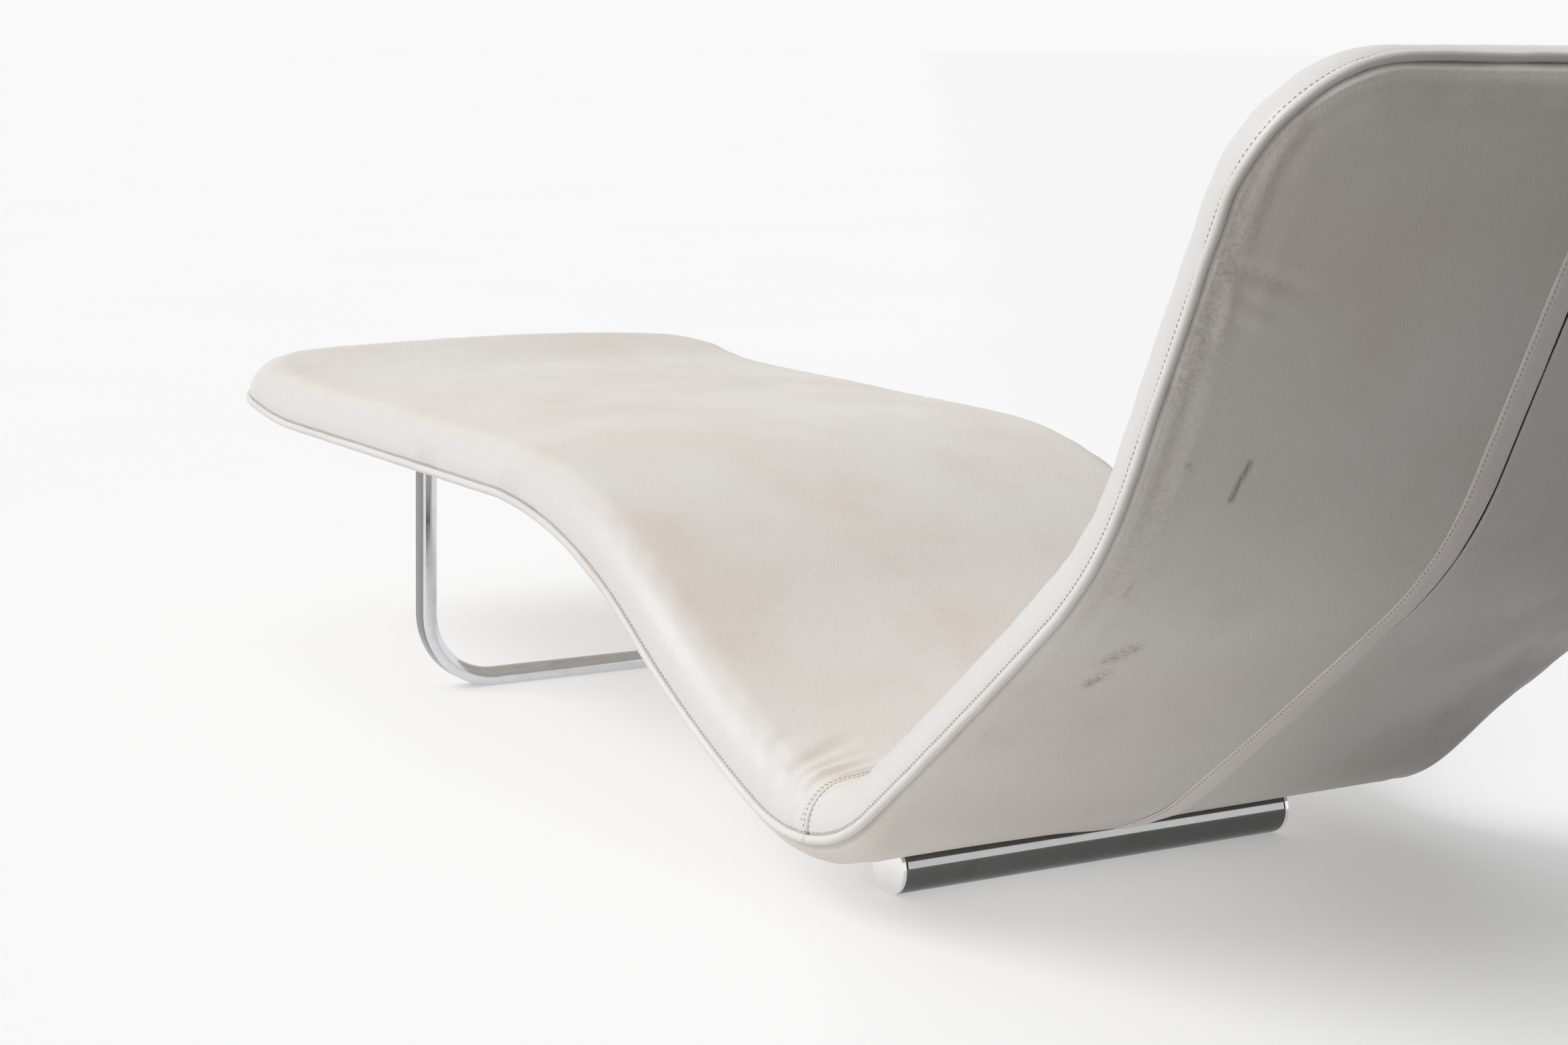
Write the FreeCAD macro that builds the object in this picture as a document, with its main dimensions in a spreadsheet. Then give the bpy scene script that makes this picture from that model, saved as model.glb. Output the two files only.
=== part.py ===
import FreeCAD, Part
import math
import os

import Sketcher
from FreeCAD import Placement, Rotation, Vector

# Relaxation lounger: an upholstered S-shaped shell on a foot bar under the seat's low point
# and a U-shaped floor leg near the foot end.
# Frame: +X towards the head, +Z up, origin on the floor under the middle of the foot bar.
# The side line of the shell is the line of its piping. Places on it are lengths from the head end.
# Across the shell, y is the place along its width, and n the height over the side line,
# towards the sitter. Depths of the back and underside are n below zero.

SIZES = [
    ("shell_width", 650.0, "Shell: width over its two sides"),
    ("head_corner_radius", 115.0, "Shell: plan radius of the two corners at the head"),
    ("foot_corner_radius", 85.0, "Shell: plan radius of the two corners at the foot"),
    ("front_height", 46.0, "Shell: height of the rounded front edge over the side line"),
    ("front_inset", 42.0, "Shell: width of the rounded front edge"),
    ("front_crown", 10.0, "Shell: extra height of the front in the middle"),
    ("back_edge_depth", 12.0, "Shell: depth of the back at the end of its rounded edge"),
    ("back_edge_inset", 30.0, "Shell: width of the rounded back edge"),
    ("back_depth", 24.5, "Shell: depth of the back in the middle"),
    ("low_edge_depth", 23.6, "Shell: depth of the back near its sides over the foot bar"),
    ("low_bend_core", 60.0, "Shell: half length of the stretch with that depth"),
    ("low_bend_reach", 220.0, "Shell: half length of the stretch that blends into it"),
    ("low_bend_step", 18.0, "Shell: largest distance between cross sections in that stretch"),
    ("low_point_x", 13.0, "Shell: lowest point of the side line, forward of the foot bar"),
    ("upper_back_length", 329.0, "Side line: straight upper back"),
    ("lumbar_length", 146.6, "Side line: bend at the small of the back"),
    ("lumbar_turn", 24.2, "Side line: its turn in degrees"),
    ("lower_back_length", 308.7, "Side line: lower back"),
    ("lower_back_turn", 2.3, "Side line: its turn in degrees"),
    ("seat_bend_back_length", 125.2, "Side line: seat bend, up to the back"),
    ("seat_bend_back_turn", 39.8, "Side line: its turn in degrees"),
    ("seat_bend_front_length", 60.0, "Side line: seat bend, up to the thighs"),
    ("seat_bend_front_turn", 19.1, "Side line: its turn in degrees"),
    ("thigh_length", 247.0, "Side line: rise under the thighs"),
    ("thigh_turn", 12.9, "Side line: its turn in degrees"),
    ("knee_length", 317.0, "Side line: bend over the knees"),
    ("knee_turn", 32.7, "Side line: its turn in degrees"),
    ("leg_rest_length", 512.0, "Side line: straight leg rest"),
    ("foot_lift_length", 100.0, "Side line: slight lift at the foot"),
    ("foot_lift_turn", 9.8, "Side line: its turn in degrees"),
    ("foot_end_length", 102.0, "Side line: straight end at the foot"),
    ("seam_place_share", 0.78, "Crosswise seam: share of the back part of the seat bend below it"),
    ("seam_gap", 0.4, "Crosswise seam: gap between the two covers"),
    ("leather_thickness", 1.6, "Leather of the covers and panels"),
    ("soft_gap", 0.3, "Gap that keeps soft pieces clear of their neighbours"),
    ("piping_radius", 3.5, "Piping: radius"),
    ("foam_joint_height", 2.0, "Foam: height of the joint between front and back foam"),
    ("foam_joint_gap", 0.4, "Foam: gap between front and back foam"),
    ("rail_radius", 10.0, "Frame tubes: outer radius"),
    ("cross_tube_radius", 9.0, "Frame tubes: outer radius of those that run across"),
    ("tube_wall", 2.0, "Frame tubes: wall"),
    ("rail_inset", 40.0, "Frame: centre of the side tubes inside the shell's sides"),
    ("rail_end_inset", 60.0, "Frame: ends of the side tubes inside the shell's ends"),
    ("strap_width", 45.0, "Webbing: strap width"),
    ("strap_thickness", 2.0, "Webbing: strap thickness"),
    ("strap_pitch", 120.0, "Webbing: largest distance between straps"),
    ("bar_radius", 24.15, "Foot bar: radius of its round outline"),
    ("bar_length", 432.0, "Foot bar: length over its end caps"),
    ("bar_height", 45.5, "Foot bar: height of its flat top over the floor"),
    ("bar_wall", 3.0, "Foot bar: wall"),
    ("bar_floor_flat", 0.5, "Foot bar: depth of the flat that it stands on"),
    ("bar_side_flat", 0.35, "Foot bar: depth of the flats on its sides"),
    ("bar_cap_thickness", 4.0, "Foot bar: thickness of an end cap"),
    ("bar_cap_spigot", 14.0, "Foot bar: length of the cap's spigot inside the bar"),
    ("bar_pad_thickness", 2.2, "Foot bar: rubber pad between bar and shell"),
    ("bar_pad_width", 20.0, "Foot bar: width of the pad"),
    ("bar_pad_gap", 1.0, "Foot bar: gap between the pads and the zip's flap"),
    ("bar_cap_clearance", 0.3, "Foot bar: clearance of the spigot in the bar"),
    ("mount_plate_width", 72.0, "Bar mount plate: size along the lounger"),
    ("mount_plate_thickness", 5.0, "Bar mount plate: thickness"),
    ("mount_plate_overhang", 4.0, "Bar mount plate: end past the centre of the outer tubes"),
    ("stud_radius", 4.0, "Bar studs: radius"),
    ("stud_spacing", 120.0, "Bar studs: distance from one to the next"),
    ("stud_nut_width", 13.0, "Bar nuts: width across flats"),
    ("stud_nut_height", 6.5, "Bar nuts: height"),
    ("stud_end", 3.0, "Bar studs: thread past the nut"),
    ("spacer_radius", 8.0, "Bar spacers: outer radius"),
    ("bolt_clearance", 0.3, "Clearance around studs and spacers"),
    ("thread_clearance", 0.1, "Clearance of studs and screws in their threads"),
    ("leg_x", 855.0, "Floor leg: distance of its middle plane from the foot bar"),
    ("leg_inset", 56.0, "Floor leg: outside of its uprights inside the shell's sides"),
    ("leg_bar_width", 20.0, "Floor leg: width of its bar along the lounger"),
    ("leg_bar_depth", 18.0, "Floor leg: depth of its bar"),
    ("leg_bar_flank", 8.6, "Floor leg: height of the bar's flat flank"),
    ("leg_bend_radius", 88.0, "Floor leg: outer radius of its two bends"),
    ("leg_entry", 20.0, "Floor leg: length of an upright inside its socket"),
    ("leg_slot_gap", 0.6, "Floor leg: clearance in the leather and the foam"),
    ("socket_gap", 0.2, "Leg sockets: clearance around the upright"),
    ("socket_wall", 8.0, "Leg sockets: wall"),
    ("socket_floor", 3.0, "Leg sockets: metal over the end of the upright"),
    ("socket_foam_cover", 2.5, "Leg sockets: depth of their underside inside the leather"),
    ("set_screw_radius", 3.0, "Leg set screws: radius"),
    ("set_screw_key", 3.0, "Leg set screws: width of the key socket"),
    ("cut_overrun", 1.0, "Cuts: length past the piece that they open"),
    ("zip_centre_y", 4.0, "Zip: its middle line across the shell"),
    ("zip_head_gap", 60.0, "Zip: end of the tapes from the shell's head end"),
    ("zip_bar_gap", 85.0, "Zip: end of the tapes before the lowest point"),
    ("zip_tape_width", 12.0, "Zip: width of one tape"),
    ("zip_tape_thickness", 0.8, "Zip: thickness of the tapes"),
    ("zip_half_gap", 0.5, "Zip: half the gap between the two rows of teeth"),
    ("zip_teeth_width", 2.3, "Zip: width of one row of teeth"),
    ("zip_teeth_height", 1.2, "Zip: height of the teeth over the tape"),
    ("zip_depth", 6.3, "Zip: depth of the tapes under the panels' outside"),
    ("zip_clearance", 0.3, "Zip: clearance of the slider over teeth and tape"),
    ("zip_ledge_gap", 0.3, "Zip: gap between tape and foam"),
    ("slider_length", 13.0, "Zip slider: length"),
    ("slider_width", 9.0, "Zip slider: width"),
    ("slider_plate", 1.2, "Zip slider: thickness of each plate"),
    ("slider_post", 0.6, "Zip slider: width of the post between the teeth"),
    ("slider_start", 3.0, "Zip slider: distance from the head end of the teeth"),
    ("slider_travel", 190.0, "Zip slider: travel on the straight upper back"),
    ("bridge_length", 6.4, "Zip slider: length of the bridge that holds the pull"),
    ("bridge_width", 1.6, "Zip slider: width of the bridge"),
    ("bridge_thickness", 0.8, "Zip slider: thickness of the bridge"),
    ("bridge_room", 2.0, "Zip slider: height under the bridge"),
    ("pull_length", 14.0, "Zip pull: length"),
    ("pull_width", 5.6, "Zip pull: width"),
    ("pull_thickness", 1.1, "Zip pull: thickness"),
    ("pull_window_length", 4.2, "Zip pull: length of its window"),
    ("pull_window_width", 2.6, "Zip pull: width of its window"),
    ("pull_hinge_offset", 0.7, "Zip pull: its bar from the middle of the bridge"),
    ("stop_length", 3.0, "Zip stops: length"),
    ("panel_left_edge", 4.0, "Rear panels: inner edge of the left panel from the middle"),
    ("panel_right_edge", 12.0, "Rear panels: inner edge of the right panel from the middle"),
    ("flap_left_edge", 18.0, "Zip flap: sewn edge from the middle"),
    ("flap_right_edge", 9.0, "Zip flap: free edge from the middle"),
    ("flap_thickness", 1.4, "Zip flap: thickness"),
    ("flap_end_gap", 46.0, "Zip flap: distance of its ends from the ends of the shell"),
]

QUARTER_TURN = 90.0
HALF_TURN = 180.0
CORNER_DEGREES = 45.0
HEXAGON_SIDES = 6
STUD_ROW_SHARES = (-1.5, -0.5, 0.5, 1.5)
END_STEP_SHARES = (0.02, 0.07, 0.16, 0.3, 0.5, 0.75, 1.0)
CORNER_STEP_SHARES = (0.3, 0.62, 1.0)
FIRST_INNER_SHARE = 0.0005

doc = FreeCAD.newDocument("relaxation_lounger")
sheet = doc.addObject("Spreadsheet::Sheet", "Sizes")
for row, (alias, value, note) in enumerate(SIZES, start=1):
    sheet.set(f"A{row}", note)
    sheet.set(f"B{row}", str(value))
    sheet.setAlias(f"B{row}", alias)
doc.recompute()


def size(alias):
    """A driving dimension, read from the sheet."""
    return float(sheet.get(alias))


half_width = size("shell_width") / 2
leather = size("leather_thickness")
soft_gap = size("soft_gap")
piping_radius = size("piping_radius")
foam_offset = leather + soft_gap
low_point_z = size("bar_height") + size("bar_pad_thickness") + size("back_depth")
parts = []


def add_feature(name, shape, at_low_point=True):
    """A sub-part whose shape is worked out here; shell pieces are drawn from the lowest point."""
    feature = doc.addObject("Part::Feature", name)
    feature.Label = name
    feature.Shape = shape
    if at_low_point:
        feature.Placement = Placement(Vector(size("low_point_x"), 0, low_point_z), Rotation())
    else:
        feature.Placement = Placement(Vector(), Rotation())
    parts.append(feature)
    return feature


def keep(feature, name):
    """Name a finished object of the document as a sub-part."""
    feature.Label = name
    parts.append(feature)
    return feature


def bind(feature, expressions):
    """Tie properties of an object to cells of the sheet."""
    for prop, expression in expressions.items():
        feature.setExpression(prop, expression)
    return feature


# Side line


def unit(heading):
    """Unit vector in the side view, at a heading in degrees from +X towards +Z."""
    return Vector(math.cos(math.radians(heading)), 0, math.sin(math.radians(heading)))


def walk(point, heading, length, turn):
    """Point and heading at the end of a straight stretch, or of an arc that turns by turn degrees."""
    if turn == 0:
        return point + unit(heading) * length, heading
    radius = length / math.radians(turn)
    centre = point + unit(heading + QUARTER_TURN) * radius
    return centre - unit(heading + turn + QUARTER_TURN) * radius, heading + turn


def side_line():
    """Stretches of the side line from head to foot: start point, heading, length and turn."""
    back = [
        (size("seat_bend_back_length"), size("seat_bend_back_turn")),
        (size("lower_back_length"), size("lower_back_turn")),
        (size("lumbar_length"), size("lumbar_turn")),
        (size("upper_back_length"), 0),
    ]
    stretches = []
    point, heading = Vector(), 0.0
    for length, turn in back:
        point, heading = walk(point, heading, length, turn)
        stretches.insert(0, (point, heading + HALF_TURN, length, -turn))
    front = [
        (size("seat_bend_front_length"), -size("seat_bend_front_turn")),
        (size("thigh_length"), -size("thigh_turn")),
        (size("knee_length"), size("knee_turn")),
        (size("leg_rest_length"), 0),
        (size("foot_lift_length"), -size("foot_lift_turn")),
        (size("foot_end_length"), 0),
    ]
    point, heading = Vector(), HALF_TURN
    for length, turn in front:
        stretches.append((point, heading, length, turn))
        point, heading = walk(point, heading, length, turn)
    return stretches


LINE = side_line()
LEG_REST = -3
LINE_LENGTH = sum(length for _, _, length, _ in LINE)
LOW_PLACE = LINE_LENGTH - sum(length for _, _, length, _ in LINE[4:])
SEAM_PLACE = LOW_PLACE - size("seat_bend_back_length") * (1 - size("seam_place_share"))
ZIP_START = size("zip_head_gap")
ZIP_END = LOW_PLACE - size("zip_bar_gap")


def place_at(distance):
    """Point and heading of the side line at a distance from the head end."""
    start = 0.0
    for point, heading, length, turn in LINE:
        if distance <= start + length:
            share = (distance - start) / length
            return walk(point, heading, distance - start, turn * share)
        start += length
    return walk(*LINE[-1])


def spot(place, y, n):
    """Point at the place (y, n) of the cross section that stands on a place of the side line."""
    point, heading = place
    return point + Vector(0, y, 0) + unit(heading - QUARTER_TURN) * n


def outline(place, start, steps):
    """Closed wire in a cross section; each step is an end point, or a middle and an end point."""
    edges = []
    last = spot(place, *start)
    for step in steps:
        end = spot(place, *step[-1])
        if len(step) == 1:
            edges.append(Part.LineSegment(last, end).toShape())
        else:
            edges.append(Part.Arc(last, spot(place, *step[0]), end).toShape())
        last = end
    return Part.Wire(edges)


def along(section, first, last):
    """Solid of a constant cross section between two places of the side line."""
    pieces = []
    start = 0.0
    for point, heading, length, turn in LINE:
        low, high = max(first, start), min(last, start + length)
        if high > low:
            place = walk(point, heading, low - start, turn * (low - start) / length)
            face = Part.Face(section(place))
            if turn == 0:
                pieces.append(face.extrude(unit(heading) * (high - low)))
            else:
                radius = length / math.radians(turn)
                centre = point + unit(heading + QUARTER_TURN) * radius
                angle = turn * (high - low) / length
                axis = Vector(0, -math.copysign(1, angle), 0)
                pieces.append(face.revolve(centre, axis, abs(angle)))
        start += length
    return join(pieces)


def join(pieces):
    """One solid from pieces that meet face to face."""
    solid = pieces[0] if len(pieces) == 1 else pieces[0].multiFuse(pieces[1:])
    return solid.Solids[0] if len(solid.Solids) == 1 else solid


def end_loft(section, corner_radius, at_head, first_step=0.0):
    """Rounded end of the shell: the cross sections from near the end to where the sides run straight."""
    inset = size("front_inset")
    steps = [inset * share for share in END_STEP_SHARES]
    steps += [inset + (corner_radius - inset) * share for share in CORNER_STEP_SHARES]
    steps = [max(step, first_step) for step in steps]
    steps = [step for i, step in enumerate(steps) if i == len(steps) - 1 or step < steps[i + 1]]
    wires = []
    for step in steps:
        distance = step if at_head else LINE_LENGTH - step
        wires.append(section(place_at(distance), Section(step, corner_radius)))
    return Part.makeLoft(wires, True, True)


def low_bend_depth(distance):
    """Depth of the back near its sides at a place of the side line, deeper over the foot bar."""
    past_core = abs(distance - LOW_PLACE) - size("low_bend_core")
    share = min(max(past_core / (size("low_bend_reach") - size("low_bend_core")), 0), 1)
    blend = (1 + math.cos(math.pi * share)) / 2
    return size("back_edge_depth") + (size("low_edge_depth") - size("back_edge_depth")) * blend


def low_bend_loft(section):
    """Stretch of the shell over the foot bar, where the back grows deeper near its sides."""
    wires = []
    count = math.ceil(2 * size("low_bend_reach") / size("low_bend_step"))
    for i in range(count + 1):
        distance = LOW_PLACE + size("low_bend_reach") * (2 * i / count - 1)
        wires.append(section(place_at(distance), Section(edge_depth=low_bend_depth(distance))))
    return Part.makeLoft(wires, True, True)


class Section:
    """Where a cross section stands: distance from the shell's end, plan corner and edge depth."""

    def __init__(self, edge_distance=None, corner_radius=None, edge_depth=None):
        self.corner_radius = size("head_corner_radius") if corner_radius is None else corner_radius
        self.edge_distance = self.corner_radius if edge_distance is None else edge_distance
        self.edge_depth = size("back_edge_depth") if edge_depth is None else edge_depth


def rounded(edge_distance, corner_radius, inset, offset):
    """Half width, shoulder width and rise of a rounded section that lies inside the shell by offset."""
    radius = corner_radius - offset
    width = inset - offset
    distance = min(max(edge_distance - offset, FIRST_INNER_SHARE * width), radius)
    middle = half_width - offset - radius
    reach = math.sqrt(radius**2 - (radius - distance) ** 2)
    inner = math.sqrt(max((radius - width) ** 2 - (radius - distance) ** 2, 0))
    rise = math.sqrt(1 - (1 - min(distance / width, 1)) ** 2)
    return middle + reach, reach - inner, rise


def arch(half, shoulder, low, high, crown):
    """Steps of a padded arch from one side to the other: rounded side, crowned middle, rounded side."""
    diagonal = math.cos(math.radians(CORNER_DEGREES))
    middle = (-half + shoulder * (1 - diagonal), low + (high - low) * diagonal)
    return [
        (middle, (-half + shoulder, high)),
        ((0, high + crown), (half - shoulder, high)),
        ((-middle[0], middle[1]), (half, low)),
    ]


def reverse_steps(start, steps):
    """The same steps walked the other way round."""
    points = [start] + [step[-1] for step in steps]
    back = []
    for i in range(len(steps) - 1, -1, -1):
        back.append((steps[i][0], points[i]) if len(steps[i]) == 2 else (points[i],))
    return points[-1], back


def front_arch(end, offset, low):
    """Half width and steps of the front surface, inside the shell's outside by offset."""
    half, shoulder, rise = rounded(end.edge_distance, end.corner_radius, size("front_inset"), offset)
    high = max((size("front_height") - offset) * rise, low + leather / 4)
    return half, arch(half, shoulder, low, high, size("front_crown") * rise)


def front_cover_section(place, end):
    """Leather of the front: outside, and inside one leather thickness further in."""
    low = piping_radius
    half, outer = front_arch(end, 0.0, low)
    inner_half, inner = front_arch(end, leather, low)
    turning_point, back = reverse_steps((-inner_half, low), inner)
    return outline(place, (-half, low), outer + [(turning_point,)] + back + [((-half, low),)])


def front_foam_section(place, end):
    """Front foam: under the leather, down to the joint between the two foams."""
    low = size("foam_joint_height")
    half, shoulder, rise = rounded(end.edge_distance, end.corner_radius, size("front_inset"),
                                   piping_radius + soft_gap)
    high = max((size("front_height") - foam_offset) * rise, low + leather)
    steps = arch(half, shoulder, low, high, size("front_crown") * rise)
    return outline(place, (-half, low), steps + [((-half, low),)])


def back_height(y, end, offset=0.0):
    """Height of the back's middle part at y, on the circle through its two shoulders and its middle."""
    half, shoulder, rise = rounded(end.edge_distance, end.corner_radius, size("back_edge_inset"),
                                   piping_radius)
    chord = half - shoulder
    sag = (size("back_depth") - end.edge_depth) * rise
    radius = (chord**2 + sag**2) / (2 * sag)
    depth = max(end.edge_depth * rise, leather + soft_gap) + sag
    return radius - depth - math.sqrt(radius**2 - y**2) + offset


def back_side(sign, end, offset, inner_y):
    """Points of one side of the back: edge, middle of the rounded edge, shoulder, middle, inner end."""
    half, shoulder, _ = rounded(end.edge_distance, end.corner_radius, size("back_edge_inset"),
                                piping_radius)
    start_n = offset - leather
    shoulder_y = half - shoulder
    shoulder_n = back_height(shoulder_y, end, offset)
    diagonal = math.cos(math.radians(CORNER_DEGREES))
    round_mid = (half - shoulder * (1 - diagonal), start_n + (shoulder_n - start_n) * diagonal)
    middle_y = (shoulder_y + inner_y) / 2
    points = [
        (half, start_n),
        round_mid,
        (shoulder_y, shoulder_n),
        (middle_y, back_height(middle_y, end, offset)),
        (inner_y, back_height(inner_y, end, offset)),
    ]
    return [(sign * y, n) for y, n in points]


def rear_panel_section(sign, inner_y):
    """Section of a rear panel, from its edge at the piping to its inner edge beside the zip."""

    def section(place, end):
        outer = back_side(sign, end, 0.0, inner_y)
        inner = back_side(sign, end, leather, inner_y)
        steps = [(outer[1], outer[2]), (outer[3], outer[4]), (inner[4],)]
        steps += [(inner[3], inner[2]), (inner[1], inner[0]), (outer[0],)]
        return outline(place, outer[0], steps)

    return section


def back_foam_section(place, end):
    """Back foam: from the joint between the two foams to just inside the rear panels."""
    half, shoulder, rise = rounded(end.edge_distance, end.corner_radius, size("back_edge_inset"),
                                   piping_radius + soft_gap)
    top = size("foam_joint_height") - size("foam_joint_gap")
    depth = max(end.edge_depth * rise - foam_offset, leather / 4)
    sag = (size("back_depth") - end.edge_depth) * rise
    steps = arch(half, shoulder, 0.0, -depth, -sag)
    return outline(place, (-half, top), [((-half, 0.0),)] + steps + [((half, top),), ((-half, top),)])


def straight_section(section):
    """The constant cross section where the sides run straight."""
    return lambda place: section(place, Section())


def front_piece(section, first=None, last=None, first_step=0.0):
    """Piece of the front between two places; None means that it runs round the end of the shell."""
    head_radius = size("head_corner_radius")
    foot_radius = size("foot_corner_radius")
    begin = head_radius if first is None else first
    finish = LINE_LENGTH - foot_radius if last is None else last
    pieces = [along(straight_section(section), begin, finish)]
    if first is None:
        pieces.append(end_loft(section, head_radius, True, first_step))
    if last is None:
        pieces.append(end_loft(section, foot_radius, False, first_step))
    return join(pieces)


def back_piece(section, first_step):
    """Piece of the back from end to end."""
    head_radius = size("head_corner_radius")
    foot_radius = size("foot_corner_radius")
    reach = size("low_bend_reach")
    constant = straight_section(section)
    return join([
        along(constant, head_radius, LOW_PLACE - reach),
        end_loft(section, head_radius, True, first_step),
        low_bend_loft(section),
        along(constant, LOW_PLACE + reach, LINE_LENGTH - foot_radius),
        end_loft(section, foot_radius, False, first_step),
    ])


def strip(y_low, y_high, n_low, n_high, first, last):
    """Strip of rectangular section that follows the side line."""

    def section(place):
        corners = [(y_high, n_low), (y_high, n_high), (y_low, n_high), (y_low, n_low)]
        return outline(place, (y_low, n_low), [(corner,) for corner in corners])

    return along(section, first, last)


def block(place, y_low, y_high, n_low, n_high, s_low, s_high):
    """Box that stands on a place of the side line, square to it."""
    point, heading = place
    corners = [(y_low, n_low), (y_high, n_low), (y_high, n_high), (y_low, n_high)]
    base = (point + unit(heading) * s_low, heading)
    wire = outline(base, corners[-1], [(corner,) for corner in corners])
    return Part.Face(wire).extrude(unit(heading) * (s_high - s_low))


def rod(start, end, radius):
    """Round rod between two points."""
    return Part.makeCylinder(radius, (end - start).Length, start, end - start)


def hexagon(centre, across_flats, first, second):
    """Face of a hexagon in the plane of two square unit vectors."""
    corner = across_flats / 2 / math.cos(math.pi / HEXAGON_SIDES)
    points = []
    for k in range(HEXAGON_SIDES + 1):
        angle = 2 * math.pi * k / HEXAGON_SIDES
        points.append(centre + (first * math.cos(angle) + second * math.sin(angle)) * corner)
    return Part.Face(Part.makePolygon(points))


# Frame: two bent side tubes, end and cross tubes, webbing


def rail_section(y, radius):
    """Round section of a side tube."""
    def section(place):
        centre = spot(place, y, size("foam_joint_height"))
        circle = Part.Circle(centre, unit(place[1]), radius)
        return Part.Wire([circle.toShape()])

    return section


rail_y = half_width - size("rail_inset")
rail_first = size("rail_end_inset")
rail_last = LINE_LENGTH - size("rail_end_inset")
rod_radius = size("rail_radius")
bore_radius = rod_radius - size("tube_wall")
cross_radius = size("cross_tube_radius")
frame_rooms = []
rails = {}
for side, sign in (("left", -1), ("right", 1)):
    solid = along(rail_section(sign * rail_y, rod_radius), rail_first, rail_last)
    bore = along(rail_section(sign * rail_y, bore_radius), rail_first, rail_last)
    rails[side] = solid
    frame_rooms.append(
        along(rail_section(sign * rail_y, rod_radius + soft_gap), rail_first - soft_gap,
              rail_last + soft_gap)
    )
    add_feature(f"frame_rail_{side}", solid.cut(bore))


def cross_tube(distance):
    """Tube across the shell, saddled onto the two side tubes."""
    place = place_at(distance)
    start = spot(place, -rail_y, size("foam_joint_height"))
    end = spot(place, rail_y, size("foam_joint_height"))
    tube = rod(start, end, cross_radius).cut(rod(start, end, cross_radius - size("tube_wall")))
    return tube.cut(Part.Compound(list(rails.values())))


def main_solid(shape):
    """The largest solid of a cut, without slivers inside the tubes that it was cut by."""
    return max(shape.Solids, key=lambda solid: solid.Volume)


HEAD_TUBE_PLACE = rail_first + rod_radius
FOOT_TUBE_PLACE = rail_last - rod_radius
rest_start, rest_heading, rest_length, _ = LINE[LEG_REST]
LEG_PLACE = LINE_LENGTH - size("foot_end_length") - size("foot_lift_length") - rest_length
LEG_PLACE += (size("leg_x") + size("low_point_x") + rest_start.x) / -unit(rest_heading).x
CROSS_TUBE_PLACES = [
    size("upper_back_length"),
    LOW_PLACE - size("seat_bend_back_length"),
    LOW_PLACE + size("seat_bend_front_length") + size("thigh_length") / 2,
    LINE_LENGTH - size("foot_end_length") - size("foot_lift_length") - size("leg_rest_length"),
]
head_tube = main_solid(cross_tube(HEAD_TUBE_PLACE))
foot_tube = main_solid(cross_tube(FOOT_TUBE_PLACE))
cross_tubes = [main_solid(cross_tube(distance)) for distance in CROSS_TUBE_PLACES]
add_feature("frame_head_tube", head_tube)
add_feature("frame_foot_tube", foot_tube)

# Sockets of the floor leg, between the leg's own cross tube and the side tubes

leg_place = place_at(LEG_PLACE)
half_leg = half_width - size("leg_inset")
leg_y = half_leg - size("leg_bar_depth") / 2
upright = Vector(0, 0, 1)
socket_low_n = back_height(leg_y, Section()) + leather + size("socket_foam_cover")
socket_half_x = size("leg_bar_width") / 2 + size("socket_gap") + size("socket_wall")
socket_low = spot(leg_place, 0, socket_low_n)
socket_height = size("leg_entry") + size("socket_floor")
socket_inner_y = half_leg - size("leg_bar_depth") - size("socket_gap") - size("socket_wall")
socket_outer_y = rail_y - rod_radius
leg_top = socket_low + upright * size("leg_entry")


def box_between(low, high):
    """Box between two corners."""
    extent = high - low
    return Part.makeBox(extent.x, extent.y, extent.z, low)


def leg_prism(sign, gap, bottom, top):
    """Room of an upright of the leg, with a gap all round."""
    half_x = size("leg_bar_width") / 2 + gap
    half_y = size("leg_bar_depth") / 2 + gap
    centre = Vector(leg_top.x, sign * leg_y, 0)
    low = centre + Vector(-half_x, -half_y, bottom)
    return box_between(low, centre + Vector(half_x, half_y, top))


sockets = {}
set_screws = []
socket_mid_z = socket_low.z + size("leg_entry") / 2
for side, sign in (("left", -1), ("right", 1)):
    y_ends = sorted((sign * socket_inner_y, sign * socket_outer_y))
    low = Vector(leg_top.x - socket_half_x, y_ends[0], socket_low.z)
    high = Vector(leg_top.x + socket_half_x, y_ends[1], socket_low.z + socket_height)
    body = box_between(low, high)
    sockets[side] = body
    screw_y = sign * (half_leg - size("leg_bar_flank") / 2)
    screw_start = Vector(leg_top.x - socket_half_x, screw_y, socket_mid_z)
    screw_end = Vector(leg_top.x - size("leg_bar_width") / 2, screw_y, socket_mid_z)
    screw = rod(screw_start, screw_end, size("set_screw_radius"))
    key = hexagon(screw_start, size("set_screw_key"), Vector(0, 1, 0), upright)
    set_screws.append(screw.cut(key.extrude((screw_end - screw_start) / 2)))
    body = body.cut(leg_prism(sign, size("socket_gap"), low.z - size("cut_overrun"), leg_top.z))
    screw_hole_radius = size("set_screw_radius") + size("thread_clearance")
    add_feature(f"leg_socket_{side}", body.cut(rod(screw_start, screw_end, screw_hole_radius)))
add_feature("leg_set_screws", Part.Compound(set_screws))
leg_tube_start = spot(leg_place, -socket_inner_y, size("foam_joint_height"))
leg_tube_end = spot(leg_place, socket_inner_y, size("foam_joint_height"))
leg_tube = rod(leg_tube_start, leg_tube_end, cross_radius)
leg_tube_bore = rod(leg_tube_start, leg_tube_end, cross_radius - size("tube_wall"))
cross_tubes.append(leg_tube.cut(leg_tube_bore))
add_feature("frame_cross_tubes", Part.Compound(cross_tubes))

# Mounting of the foot bar: plate under the side tubes, spacers, studs and nuts

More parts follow.
